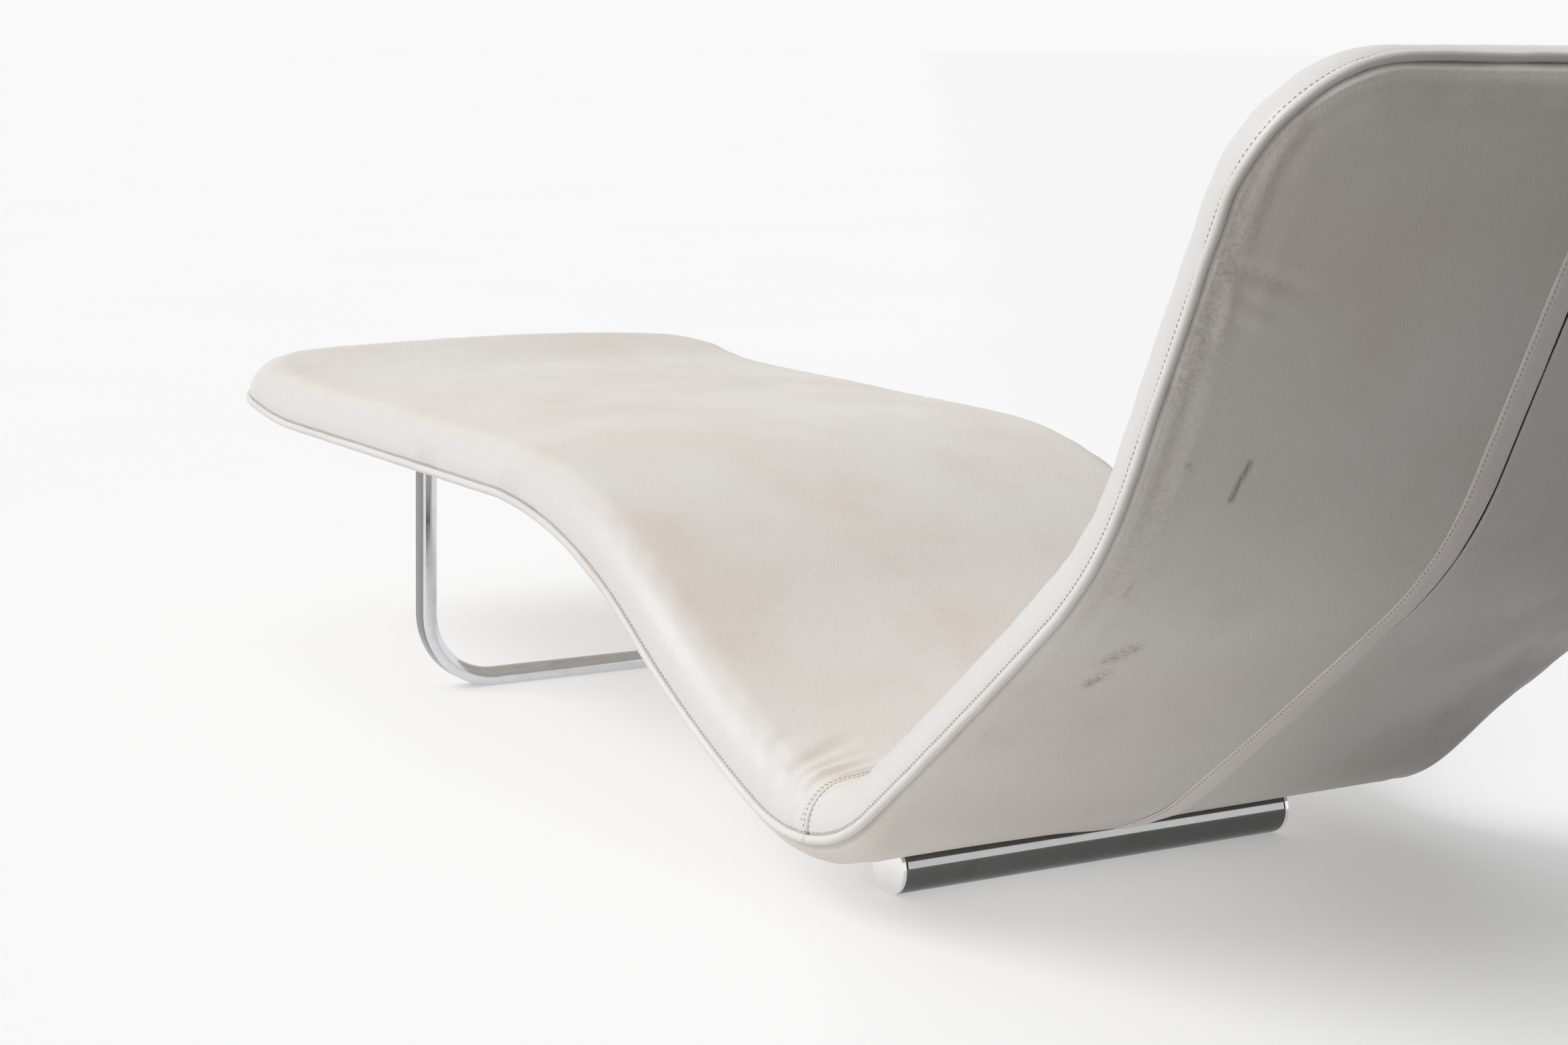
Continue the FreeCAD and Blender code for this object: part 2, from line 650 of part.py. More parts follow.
plate_top_n = size("foam_joint_height") - rod_radius
plate_low_n = plate_top_n - size("mount_plate_thickness")
plate_half_y = rail_y + size("mount_plate_overhang")
bar_x = -size("low_point_x")
bar_top_n = size("bar_height") - low_point_z
stud_places = [Vector(bar_x, size("stud_spacing") * share, 0) for share in STUD_ROW_SHARES]

plate_body = doc.addObject("PartDesign::Body", "bar_mount_plate_body")
plate_sketch = plate_body.newObject("Sketcher::SketchObject", "plate_outline")
plane = [f for f in plate_body.Origin.OriginFeatures if f.Role == "XY_Plane"][0]
plate_sketch.AttachmentSupport = [(plane, "")]
plate_sketch.MapMode = "FlatFace"
half_plate = size("mount_plate_width") / 2
corners = [
    Vector(-half_plate, -plate_half_y, 0),
    Vector(half_plate, -plate_half_y, 0),
    Vector(half_plate, plate_half_y, 0),
    Vector(-half_plate, plate_half_y, 0),
]
for i, corner in enumerate(corners):
    plate_sketch.addGeometry(Part.LineSegment(corner, corners[(i + 1) % len(corners)]))
for i in range(len(corners)):
    nxt = (i + 1) % len(corners)
    plate_sketch.addConstraint(Sketcher.Constraint("Coincident", i, 2, nxt, 1))
plate_sketch.addConstraint(Sketcher.Constraint("Horizontal", 0))
plate_sketch.addConstraint(Sketcher.Constraint("Vertical", 1))
plate_sketch.addConstraint(Sketcher.Constraint("Horizontal", 2))
plate_sketch.addConstraint(Sketcher.Constraint("Vertical", 3))
plate_sketch.addConstraint(Sketcher.Constraint("Symmetric", 0, 1, 1, 2, -1, 1))
width_index = plate_sketch.addConstraint(
    Sketcher.Constraint("DistanceX", 0, 1, 0, 2, size("mount_plate_width"))
)
length_index = plate_sketch.addConstraint(
    Sketcher.Constraint("DistanceY", 1, 1, 1, 2, 2 * plate_half_y)
)
plate_sketch.setExpression(f"Constraints[{width_index}]", "Sizes.mount_plate_width")
plate_sketch.setExpression(
    f"Constraints[{length_index}]",
    "Sizes.shell_width - 2 * Sizes.rail_inset + 2 * Sizes.mount_plate_overhang",
)
plate_pad = plate_body.newObject("PartDesign::Pad", "plate_thickness")
plate_pad.Profile = plate_sketch
plate_pad.setExpression("Length", "Sizes.mount_plate_thickness")
hole_sketch = plate_body.newObject("Sketcher::SketchObject", "stud_holes")
hole_sketch.AttachmentSupport = [(plane, "")]
hole_sketch.MapMode = "FlatFace"
for stud in stud_places:
    index = hole_sketch.addGeometry(
        Part.Circle(Vector(0, stud.y, 0), Vector(0, 0, 1), size("stud_radius") + size("bolt_clearance"))
    )
    radius_index = hole_sketch.addConstraint(
        Sketcher.Constraint("Radius", index, size("stud_radius") + size("bolt_clearance"))
    )
    hole_sketch.setExpression(
        f"Constraints[{radius_index}]", "Sizes.stud_radius + Sizes.bolt_clearance"
    )
hole_cut = plate_body.newObject("PartDesign::Pocket", "stud_hole_cut")
hole_cut.Profile = hole_sketch
hole_cut.Type = 1
hole_cut.Midplane = True
doc.recompute()
plate_body.Placement = Placement(Vector(0, 0, low_point_z + plate_low_n), Rotation())
keep(plate_body, "bar_mount_plate")
plate_room = box_between(
    Vector(bar_x - half_plate, -plate_half_y, plate_low_n),
    Vector(bar_x + half_plate, plate_half_y, plate_top_n),
)


def stacked(radius, inner_radius, low_n, high_n):
    """One round piece on each stud, between two heights over the lowest point."""
    pieces = []
    for stud in stud_places:
        low = Vector(stud.x, stud.y, low_n)
        high = Vector(stud.x, stud.y, high_n)
        piece = rod(low, high, radius)
        pieces.append(piece.cut(rod(low, high, inner_radius)) if inner_radius else piece)
    return pieces


stud_top_n = plate_top_n + size("stud_nut_height") + size("stud_end")
stud_low_n = bar_top_n - size("bar_wall")
spacers = stacked(
    size("spacer_radius"), size("stud_radius") + size("bolt_clearance"), bar_top_n, plate_low_n
)
studs = stacked(size("stud_radius"), 0, stud_low_n, stud_top_n)
nuts = []
for stud in stud_places:
    nut_base = Vector(stud.x, stud.y, plate_top_n)
    nut_height = upright * size("stud_nut_height")
    nut = hexagon(nut_base, size("stud_nut_width"), Vector(1, 0, 0), Vector(0, 1, 0)).extrude(nut_height)
    nut_bore_radius = size("stud_radius") + size("thread_clearance")
    nuts.append(nut.cut(rod(nut_base, nut_base + nut_height, nut_bore_radius)))
add_feature("bar_spacers", Part.Compound(spacers))
add_feature("bar_studs", Part.Compound(studs))
add_feature("bar_nuts", Part.Compound(nuts))

# Webbing straps between the side tubes

strap_low = size("foam_joint_height") - size("strap_thickness") / 2
strap_high = size("foam_joint_height") + size("strap_thickness") / 2
strap_y = rail_y - rod_radius
half_strap = size("strap_width") / 2
fixed_places = [HEAD_TUBE_PLACE] + sorted(CROSS_TUBE_PLACES + [LOW_PLACE, LEG_PLACE]) + [FOOT_TUBE_PLACE]
straps = []
strap_rooms = []
strap_places = []
for before, after in zip(fixed_places, fixed_places[1:]):
    count = int((after - before) / size("strap_pitch"))
    for i in range(count):
        strap_places.append(before + (after - before) * (i + 1) / (count + 1))
for distance in strap_places:
    clear_bar = abs(distance - LOW_PLACE) > half_plate + half_strap
    clear_leg = abs(distance - LEG_PLACE) > socket_half_x + half_strap
    if clear_bar and clear_leg:
        place = place_at(distance)
        straps.append(block(place, -strap_y, strap_y, strap_low, strap_high, -half_strap, half_strap))
        strap_rooms.append(
            block(place, -rail_y, rail_y, strap_low, strap_high, -half_strap, half_strap)
        )
add_feature("webbing_straps", Part.Compound(straps))

# Zip in the middle of the back

zip_y = size("zip_centre_y")
outside_n = -size("back_depth")
tape_outer_n = outside_n + size("zip_depth")
tape_inner_n = tape_outer_n + size("zip_tape_thickness")
teeth_outer_n = tape_outer_n - size("zip_teeth_height")
half_gap = size("zip_half_gap")
for side, sign in (("left", -1), ("right", 1)):
    ends = sorted((zip_y + sign * half_gap, zip_y + sign * (half_gap + size("zip_tape_width"))))
    add_feature(
        f"zip_tape_{side}", strip(ends[0], ends[1], tape_outer_n, tape_inner_n, ZIP_START, ZIP_END)
    )
    ends = sorted((zip_y + sign * half_gap, zip_y + sign * (half_gap + size("zip_teeth_width"))))
    teeth_start = ZIP_START + size("stop_length")
    teeth_end = ZIP_END - size("stop_length")
    add_feature(
        f"zip_teeth_{side}",
        strip(ends[0], ends[1], teeth_outer_n, tape_outer_n, teeth_start, teeth_end),
    )
stop_half = half_gap + size("zip_teeth_width")
stops = []
for first in (ZIP_START, ZIP_END - size("stop_length")):
    stops.append(
        strip(
            zip_y - stop_half, zip_y + stop_half, teeth_outer_n, tape_outer_n,
            first, first + size("stop_length"),
        )
    )
add_feature("zip_stops", Part.Compound(stops))

slider_centre = ZIP_START + size("stop_length") + size("slider_start") + size("slider_length") / 2
slider_place = place_at(slider_centre)
half_slider = size("slider_length") / 2
half_slider_y = size("slider_width") / 2
top_plate_inner = teeth_outer_n - size("zip_clearance")
top_plate_outer = top_plate_inner - size("slider_plate")
low_plate_outer = tape_inner_n + size("zip_clearance")
low_plate_inner = low_plate_outer + size("slider_plate")
half_post = size("slider_post") / 2
slider = block(
    slider_place, zip_y - half_slider_y, zip_y + half_slider_y,
    top_plate_outer, top_plate_inner, -half_slider, half_slider,
)
slider = slider.fuse(
    block(
        slider_place, zip_y - half_slider_y, zip_y + half_slider_y,
        low_plate_outer, low_plate_inner, -half_slider, half_slider,
    )
)
slider = slider.fuse(
    block(
        slider_place, zip_y - half_post, zip_y + half_post,
        top_plate_outer, low_plate_inner, -half_slider, -half_slider + size("slider_length") / 4,
    )
)
half_bridge = size("bridge_length") / 2
half_bridge_y = size("bridge_width") / 2
bridge_top = top_plate_outer - size("bridge_room") - size("bridge_thickness")
bridge = block(
    slider_place, zip_y - half_bridge_y, zip_y + half_bridge_y,
    bridge_top, top_plate_outer, -half_bridge, half_bridge,
)
bridge = bridge.cut(
    block(
        slider_place, zip_y - half_bridge_y, zip_y + half_bridge_y,
        top_plate_outer - size("bridge_room"), top_plate_outer,
        -half_bridge + size("bridge_thickness"), half_bridge - size("bridge_thickness"),
    )
)
add_feature("zip_slider", slider.fuse(bridge))

hinge_n = top_plate_outer - size("bridge_room") / 2
hinge_s = size("pull_hinge_offset")
half_pull = size("pull_thickness") / 2
half_window = size("pull_window_width") / 2
hinge_point = spot(slider_place, zip_y, hinge_n) + unit(slider_place[1]) * hinge_s
pull = block(
    slider_place, zip_y - size("pull_width") / 2, zip_y + size("pull_width") / 2,
    hinge_n - half_pull, hinge_n + half_pull, hinge_s, hinge_s + size("pull_length"),
)
pull = pull.cut(
    block(
        slider_place, zip_y - half_window, zip_y + half_window,
        hinge_n - half_pull, hinge_n + half_pull,
        hinge_s, hinge_s + size("pull_window_length"),
    )
)
half_pull_y = Vector(0, size("pull_width") / 2, 0)
pull = pull.fuse(rod(hinge_point - half_pull_y, hinge_point + half_pull_y, half_pull))
add_feature("zip_pull", pull)

flap_inner_n = outside_n - soft_gap
add_feature(
    "zip_flap",
    strip(
        -size("flap_left_edge"), size("flap_right_edge"),
        flap_inner_n - size("flap_thickness"), flap_inner_n,
        size("flap_end_gap"), LINE_LENGTH - size("flap_end_gap"),
    ),
)
ledge_n = tape_inner_n + size("zip_ledge_gap")
channel_half = half_gap + size("zip_tape_width") + soft_gap
zip_room = strip(
    zip_y - channel_half, zip_y + channel_half, outside_n - leather, ledge_n,
    ZIP_START - soft_gap, ZIP_END + soft_gap,
)
slider_room = strip(
    zip_y - half_slider_y - soft_gap, zip_y + half_slider_y + soft_gap,
    ledge_n - leather, low_plate_inner + soft_gap,
    ZIP_START - soft_gap, slider_centre + size("slider_travel") + size("slider_length"),
)

# Soft shell: foams, covers, rear panels and piping

overrun = size("cut_overrun")
frame_rooms += list(sockets.values()) + [plate_room]
for distance in [HEAD_TUBE_PLACE, FOOT_TUBE_PLACE, LEG_PLACE] + CROSS_TUBE_PLACES:
    place = place_at(distance)
    start = spot(place, -rail_y - overrun, size("foam_joint_height"))
    end = spot(place, rail_y + overrun, size("foam_joint_height"))
    frame_rooms.append(rod(start, end, cross_radius + soft_gap))
leg_rooms = [
    leg_prism(sign, size("leg_slot_gap"), socket_low.z - 2 * size("back_depth"), leg_top.z)
    for sign in (-1, 1)
]
spacer_room_radius = size("spacer_radius") + size("bolt_clearance")
spacer_rooms = stacked(spacer_room_radius, 0, bar_top_n, plate_low_n + overrun)
nut_room_radius = size("stud_nut_width") / 2 / math.cos(math.pi / HEXAGON_SIDES) + size("bolt_clearance")
nut_rooms = stacked(nut_room_radius, 0, plate_top_n - overrun, stud_top_n + soft_gap)
foam_first_step = 2 * (piping_radius + soft_gap)
front_foam = front_piece(front_foam_section, first_step=foam_first_step)
front_foam = front_foam.cut(frame_rooms + strap_rooms)
add_feature("front_foam", main_solid(front_foam))
back_foam = back_piece(back_foam_section, foam_first_step)
foam_rooms = frame_rooms + strap_rooms + [zip_room, slider_room] + leg_rooms
foam_rooms += spacer_rooms + nut_rooms
add_feature("back_foam", main_solid(back_foam.cut(foam_rooms)))

half_seam = size("seam_gap") / 2
add_feature(
    "back_cover",
    front_piece(front_cover_section, last=SEAM_PLACE - half_seam),
)
add_feature(
    "seat_cover",
    front_piece(front_cover_section, first=SEAM_PLACE + half_seam),
)
for side, sign, inner in (
    ("left", -1, size("panel_left_edge")),
    ("right", 1, size("panel_right_edge")),
):
    panel = back_piece(rear_panel_section(sign, inner), piping_radius + soft_gap)
    panel = panel.cut(leg_rooms + spacer_rooms)
    add_feature(f"rear_panel_{side}", main_solid(panel))


def piping(first, last, corner_radius, at_head):
    """Piping round one end of the shell, from one side of the seam to the other."""
    sides = []
    for sign in (-1, 1):
        def section(place):
            return Part.Wire([Part.Circle(spot(place, sign * half_width, 0), unit(place[1]),
                                          piping_radius).toShape()])
        sides.append(along(section, first, last))
    end = 0.0 if at_head else LINE_LENGTH
    inner = corner_radius if at_head else LINE_LENGTH - corner_radius
    end_place, inner_place = place_at(end), place_at(inner)
    heading = unit(end_place[1])
    normal = unit(end_place[1] - QUARTER_TURN)
    pieces = sides
    for sign in (-1, 1):
        centre = spot(inner_place, sign * (half_width - corner_radius), 0)
        start = spot(inner_place, sign * half_width, 0)
        circle = Part.Wire([Part.Circle(start, heading, piping_radius).toShape()])
        turn = -QUARTER_TURN if (sign > 0) == at_head else QUARTER_TURN
        pieces.append(Part.Face(circle).revolve(centre, normal * math.copysign(1, turn), abs(turn)))
    reach = Vector(0, half_width - corner_radius, 0)
    middle = spot(end_place, 0, 0)
    pieces.append(rod(middle - reach, middle + reach, piping_radius))
    return join(pieces)


add_feature("back_piping", piping(size("head_corner_radius"), SEAM_PLACE - half_seam,
                                  size("head_corner_radius"), True))
add_feature("seat_piping", piping(SEAM_PLACE + half_seam, LINE_LENGTH - size("foot_corner_radius"),
                                  size("foot_corner_radius"), False))

# Foot bar: round outline with a flat top, flats on its sides and on its floor line


def bar_solid(name, radius_expression, length_expression, start_expression, trims):
    """Rod along Y cut flat on top, below and on the sides, each by its own distance."""
    core = doc.addObject("Part::Cylinder", f"{name}_round")
    core.Placement = Placement(Vector(), Rotation(Vector(1, 0, 0), -QUARTER_TURN))
    bind(core, {
        "Radius": radius_expression,
        "Height": length_expression,
        "Placement.Base.y": start_expression,
        "Placement.Base.z": "Sizes.bar_radius - Sizes.bar_floor_flat",
    })
    window = doc.addObject("Part::Box", f"{name}_window")
    bind(window, {
        "Length": f"2 * (Sizes.bar_radius - ({trims['side']}))",
        "Width": length_expression,
        "Height": f"Sizes.bar_height - ({trims['top']})",
        "Placement.Base.x": f"-(Sizes.bar_radius - ({trims['side']}))",
        "Placement.Base.y": start_expression,
    })
    shape = doc.addObject("Part::MultiCommon", f"{name}_outline")
    shape.Shapes = [core, window]
    return shape


bar_inner_length = "Sizes.bar_length - 2 * Sizes.bar_cap_thickness"
bar_inner_start = "-(Sizes.bar_length / 2 - Sizes.bar_cap_thickness)"
bar_outer = bar_solid("bar_outside", "Sizes.bar_radius", bar_inner_length, bar_inner_start,
                      {"side": "Sizes.bar_side_flat", "top": "0"})
bar_inner = bar_solid("bar_inside", "Sizes.bar_radius - Sizes.bar_wall", bar_inner_length,
                      bar_inner_start, {"side": "Sizes.bar_side_flat", "top": "Sizes.bar_wall"})
bar_tube = doc.addObject("Part::Cut", "foot_bar_tube")
bar_tube.Base = bar_outer
bar_tube.Tool = bar_inner
stud_holes = []
for i, share in enumerate(STUD_ROW_SHARES):
    hole = doc.addObject("Part::Cylinder", f"bar_stud_hole_{i}")
    bind(hole, {
        "Radius": "Sizes.stud_radius + Sizes.thread_clearance",
        "Height": "Sizes.bar_wall",
        "Placement.Base.y": f"Sizes.stud_spacing * {share}",
        "Placement.Base.z": "Sizes.bar_height - Sizes.bar_wall",
    })
    stud_holes.append(hole)
holes = doc.addObject("Part::MultiFuse", "bar_stud_holes")
holes.Shapes = stud_holes
foot_bar = doc.addObject("Part::Cut", "foot_bar_body")
foot_bar.Base = bar_tube
foot_bar.Tool = holes
keep(foot_bar, "foot_bar")
for side, sign in (("left", -1), ("right", 1)):
    disc_start = "-Sizes.bar_length / 2" if sign < 0 else "Sizes.bar_length / 2 - Sizes.bar_cap_thickness"
    disc = bar_solid(f"cap_disc_{side}", "Sizes.bar_radius", "Sizes.bar_cap_thickness", disc_start,
                     {"side": "0", "top": "0"})
    if sign < 0:
        spigot_start = "-Sizes.bar_length / 2 + Sizes.bar_cap_thickness"
    else:
        spigot_start = "Sizes.bar_length / 2 - Sizes.bar_cap_thickness - Sizes.bar_cap_spigot"
    spigot = bar_solid(
        f"cap_spigot_{side}", "Sizes.bar_radius - Sizes.bar_wall - Sizes.bar_cap_clearance",
        "Sizes.bar_cap_spigot", spigot_start,
        {"side": "Sizes.bar_side_flat", "top": "Sizes.bar_wall + Sizes.bar_cap_clearance"},
    )
    cap = doc.addObject("Part::Fuse", f"bar_cap_{side}_body")
    cap.Base = disc
    cap.Tool = spigot
    keep(cap, f"bar_cap_{side}")

low_point = Vector(size("low_point_x"), 0, low_point_z)
pads = []
for name, start, end in (
    ("left", "-Sizes.bar_length / 2", "-(Sizes.flap_left_edge + Sizes.bar_pad_gap)"),
    ("right", "Sizes.flap_right_edge + Sizes.bar_pad_gap", "Sizes.bar_length / 2"),
):
    block_piece = doc.addObject("Part::Box", f"bar_pad_block_{name}")
    bind(block_piece, {
        "Length": "Sizes.bar_pad_width",
        "Width": f"{end} - ({start})",
        "Height": "Sizes.bar_pad_thickness",
        "Placement.Base.x": "-Sizes.bar_pad_width / 2",
        "Placement.Base.y": start,
        "Placement.Base.z": "Sizes.bar_height",
    })
    doc.recompute()
    pad_shape = block_piece.Shape
    for room in spacer_rooms:
        moved = room.copy()
        moved.translate(low_point)
        pad_shape = pad_shape.cut(moved)
    pads.append(pad_shape)
add_feature("bar_pads", Part.Compound(pads), at_low_point=False)

# Floor leg: one bar bent to a U, flat outside and domed inside


def leg_section(point, outward, along_x):
    """Closed wire of the leg's bar: flat on the outside, upright flanks and a domed inside."""
    half_x = size("leg_bar_width") / 2
    corner_a = point + along_x * half_x
    corner_b = point - along_x * half_x
    flank_a = corner_a - outward * size("leg_bar_flank")
    flank_b = corner_b - outward * size("leg_bar_flank")
    top = point - outward * size("leg_bar_depth")
    return Part.Wire([
        Part.LineSegment(corner_b, corner_a).toShape(),
        Part.LineSegment(corner_a, flank_a).toShape(),
        Part.Arc(flank_a, top, flank_b).toShape(),
        Part.LineSegment(flank_b, corner_b).toShape(),
    ])


along_x = Vector(1, 0, 0)
leg_x = leg_top.x + size("low_point_x")
leg_top_z = leg_top.z + low_point_z
bend = size("leg_bend_radius")
leg_pieces = []
floor_face = Part.Face(leg_section(Vector(leg_x, -half_leg + bend, 0), -upright, along_x))
leg_pieces.append(floor_face.extrude(Vector(0, 2 * (half_leg - bend), 0)))
for sign in (-1, 1):
    foot = Vector(leg_x, sign * (half_leg - bend), 0)
    centre = foot + upright * bend
    face = Part.Face(leg_section(foot, -upright, along_x))
    leg_pieces.append(face.revolve(centre, Vector(sign, 0, 0), QUARTER_TURN))
    outer = Vector(leg_x, sign * half_leg, bend)
    face = Part.Face(leg_section(outer, Vector(0, sign, 0), along_x))
    leg_pieces.append(face.extrude(upright * (leg_top_z - bend)))
add_feature("floor_leg", join(leg_pieces), at_low_point=False)

# Check and write

doc.recompute()
for item in doc.Objects:
    for word in ("Invalid", "Error"):
        if word in item.State:
            raise RuntimeError(f"{item.Label} did not compute")
os.makedirs("parts", exist_ok=True)
for part in parts:
    shape = part.Shape
    if shape.isNull() or not shape.isValid() or not shape.Solids:
        raise RuntimeError(f"{part.Label} is not a valid solid")
    shape.exportStep(f"parts/{part.Label}.step")
    print(f"{part.Label}: {len(shape.Solids)} solids")
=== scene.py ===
import math

import bpy
import numpy as np
from mathutils import Matrix, Vector
from mathutils.bvhtree import BVHTree

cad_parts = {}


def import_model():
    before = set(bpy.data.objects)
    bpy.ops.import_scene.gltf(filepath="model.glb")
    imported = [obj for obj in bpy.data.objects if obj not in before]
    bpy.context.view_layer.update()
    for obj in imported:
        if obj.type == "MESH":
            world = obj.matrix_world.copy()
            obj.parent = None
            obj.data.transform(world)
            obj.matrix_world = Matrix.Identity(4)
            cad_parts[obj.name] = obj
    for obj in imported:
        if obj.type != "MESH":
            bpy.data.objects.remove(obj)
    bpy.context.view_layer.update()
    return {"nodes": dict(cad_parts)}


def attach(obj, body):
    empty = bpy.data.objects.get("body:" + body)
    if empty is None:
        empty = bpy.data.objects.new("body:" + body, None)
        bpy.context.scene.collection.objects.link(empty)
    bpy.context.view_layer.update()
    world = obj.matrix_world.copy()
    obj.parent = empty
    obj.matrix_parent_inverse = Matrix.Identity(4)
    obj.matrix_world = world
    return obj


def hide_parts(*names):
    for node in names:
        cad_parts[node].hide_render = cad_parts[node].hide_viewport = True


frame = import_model()

# Relaxation lounger. Lengths in metres, turns in degrees.
# A place on the shell is s, the length along its side line from the head end, y across it,
# and n, the height over the side line towards the sitter.

# Side line: length and turn of each run, from the lowest point towards the head and the foot
LOW_X = 0.013
LOW_Z = 0.0722
BACK_RUNS = ((0.1252, 39.8), (0.3087, 2.3), (0.1466, 24.2), (0.329, 0.0))
FRONT_RUNS = (
    (0.06, -19.1), (0.247, -12.9), (0.317, 32.7), (0.512, 0.0), (0.1, -9.8), (0.102, 0.0),
)

# Plan and cross section of the shell
HALF_WIDTH = 0.325
HEAD_RADIUS = 0.115
FOOT_RADIUS = 0.085
FRONT_HEIGHT = 0.046
FRONT_INSET = 0.042
FRONT_CROWN = 0.010
BACK_EDGE_DEPTH = 0.012
BACK_EDGE_WIDTH = 0.0265
BACK_DEPTH = 0.0245
LOW_EDGE_DEPTH = 0.0236
LOW_CORE = 0.060
LOW_REACH = 0.220
SEAM_SHARE = 0.78
PIPING_RADIUS = 0.0035
LEATHER = 0.0016
PANEL_LEFT_Y = -0.004
PANEL_RIGHT_Y = 0.012
FLAP_LEFT_Y = -0.018
FLAP_RIGHT_Y = 0.0083
FLAP_INNER_N = -0.0248
FLAP_OUTER_N = -0.0262
FLAP_END_GAP = 0.046


# Side line


def unit(heading):
    return np.array([math.cos(heading), math.sin(heading)])


def walk(point, heading, length, turn):
    """End and heading after a straight run or an arc."""
    if turn == 0:
        return point + unit(heading) * length, heading
    radius = length / turn
    centre = point + unit(heading + math.pi / 2) * radius
    return centre - unit(heading + turn + math.pi / 2) * radius, heading + turn


def side_line():
    """Runs from head to foot: start, heading, length and turn in radians."""
    low = np.array([LOW_X, LOW_Z])
    runs = []
    point, heading = low, 0.0
    for length, degrees in BACK_RUNS:
        turn = math.radians(degrees)
        point, heading = walk(point, heading, length, turn)
        runs.insert(0, (point, heading + math.pi, length, -turn))
    point, heading = low, math.pi
    for length, degrees in FRONT_RUNS:
        turn = math.radians(degrees)
        runs.append((point, heading, length, turn))
        point, heading = walk(point, heading, length, turn)
    return runs


RUNS = side_line()
LENGTH = sum(run[2] for run in RUNS)
LOW_PLACE = sum(length for length, _ in BACK_RUNS)
SEAM = LOW_PLACE - (1 - SEAM_SHARE) * BACK_RUNS[0][0]


def place(s):
    """x, z and heading of places on the side line."""
    s = np.asarray(s, float)
    x, z, angle = np.zeros_like(s), np.zeros_like(s), np.zeros_like(s)
    start = 0.0
    for i, (point, heading, length, turn) in enumerate(RUNS):
        here = np.ones(s.shape, bool)
        if i > 0:
            here &= s >= start
        if i < len(RUNS) - 1:
            here &= s < start + length
        run = s[here] - start
        if turn == 0:
            x[here] = point[0] + math.cos(heading) * run
            z[here] = point[1] + math.sin(heading) * run
            angle[here] = heading
        else:
            radius = length / turn
            centre = point + unit(heading + math.pi / 2) * radius
            at = heading + turn * run / length
            x[here] = centre[0] - radius * np.cos(at + math.pi / 2)
            z[here] = centre[1] - radius * np.sin(at + math.pi / 2)
            angle[here] = at
        start += length
    return x, z, angle


def spot(s, y, n):
    """Points in space of places on the shell."""
    x, z, angle = place(s)
    up_x, up_z = np.cos(angle - math.pi / 2), np.sin(angle - math.pi / 2)
    return np.stack([x + n * up_x, np.asarray(y, float) + 0 * x, z + n * up_z], -1)


def towards_sitter(s):
    """Unit vectors square to the side line."""
    angle = place(s)[2] - math.pi / 2
    return np.stack([np.cos(angle), 0 * angle, np.sin(angle)], -1)


# Plan and profiles


def edge_distance(s, y):
    """Distance inside the outline, a rectangle with rounded corners."""
    from_side = HALF_WIDTH - abs(y)
    distance = np.minimum(np.minimum(from_side, s), LENGTH - s)
    for radius, from_end in ((HEAD_RADIUS, s), (FOOT_RADIUS, LENGTH - s)):
        corner = (from_end < radius) & (from_side < radius)
        rounded = radius - np.hypot(radius - from_end, radius - from_side)
        distance = np.where(corner, rounded, distance)
    return distance


def rise(distance, width):
    """Share of the height of a quarter-round edge."""
    share = np.clip(distance / width, 0, 1)
    return np.sqrt(np.maximum(1 - (1 - share) ** 2, 0))


def crown(y, half):
    return np.maximum(1 - (y / half) ** 2, 0)


def front_height(s, y):
    """Height of the sitter's side."""
    from_end = np.minimum(s, LENGTH - s)
    edge = (FRONT_HEIGHT - PIPING_RADIUS) * rise(edge_distance(s, y), FRONT_INSET)
    middle = FRONT_CROWN * crown(y, HALF_WIDTH - FRONT_INSET) * rise(from_end, FRONT_INSET)
    return PIPING_RADIUS + edge + middle


def back_height(s, y):
    """Height of the back and underside, below zero."""
    distance = edge_distance(s, y) - PIPING_RADIUS
    from_end = np.minimum(s, LENGTH - s) - PIPING_RADIUS
    blend = np.clip((abs(s - LOW_PLACE) - LOW_CORE) / (LOW_REACH - LOW_CORE), 0, 1)
    deeper = (LOW_EDGE_DEPTH - BACK_EDGE_DEPTH) * (1 + np.cos(math.pi * blend)) / 2
    depth = BACK_EDGE_DEPTH + deeper
    middle = crown(y, HALF_WIDTH - PIPING_RADIUS - BACK_EDGE_WIDTH) * rise(from_end, BACK_EDGE_WIDTH)
    return -(depth * rise(distance, BACK_EDGE_WIDTH) + (BACK_DEPTH - depth) * middle)


# Grid over the plan

PATCH_INSET = 0.050
CORNER_STEPS = 12
ROW_STEP = 0.0085
SEAM_STEP = 0.0030
SEAM_FINE_BACK = 0.045
SEAM_FINE_FRONT = 0.100
SIDE_FADE = 0.20
END_FADE = 0.30


def spaced(marks, steps):
    """Values from the first mark to the last, through each mark, near the given steps."""
    values = [marks[0]]
    for low, high, step in zip(marks, marks[1:], steps):
        count = max(1, round((high - low) / step))
        values += [low + (high - low) * (k + 1) / count for k in range(count)]
    return np.array(values)


def fade(distance, reach):
    return (1 + np.cos(math.pi * np.clip(distance / reach, 0, 1))) / 2

MIRROR = np.array([1, -1, 1, -1])
EVEN_SHARE = 0.25


def corner_line(foot, first, last):
    """Points of a corner at the near side, with outward directions; angles are from the side."""
    radius, sign = (FOOT_RADIUS, 1) if foot else (HEAD_RADIUS, -1)
    centre = np.array([LENGTH - radius if foot else radius, radius - HALF_WIDTH])
    angles = np.radians(np.linspace(first, last, CORNER_STEPS + 1))
    out = np.stack([sign * np.sin(angles), -np.cos(angles)], -1)
    return np.hstack([centre + radius * out, out])


def round_trip(near, foot, far, head):
    """Four sides joined into one loop; each runs from its head or near end."""
    return np.concatenate([near, foot[1:], far[-2::-1], head[-2:0:-1]])


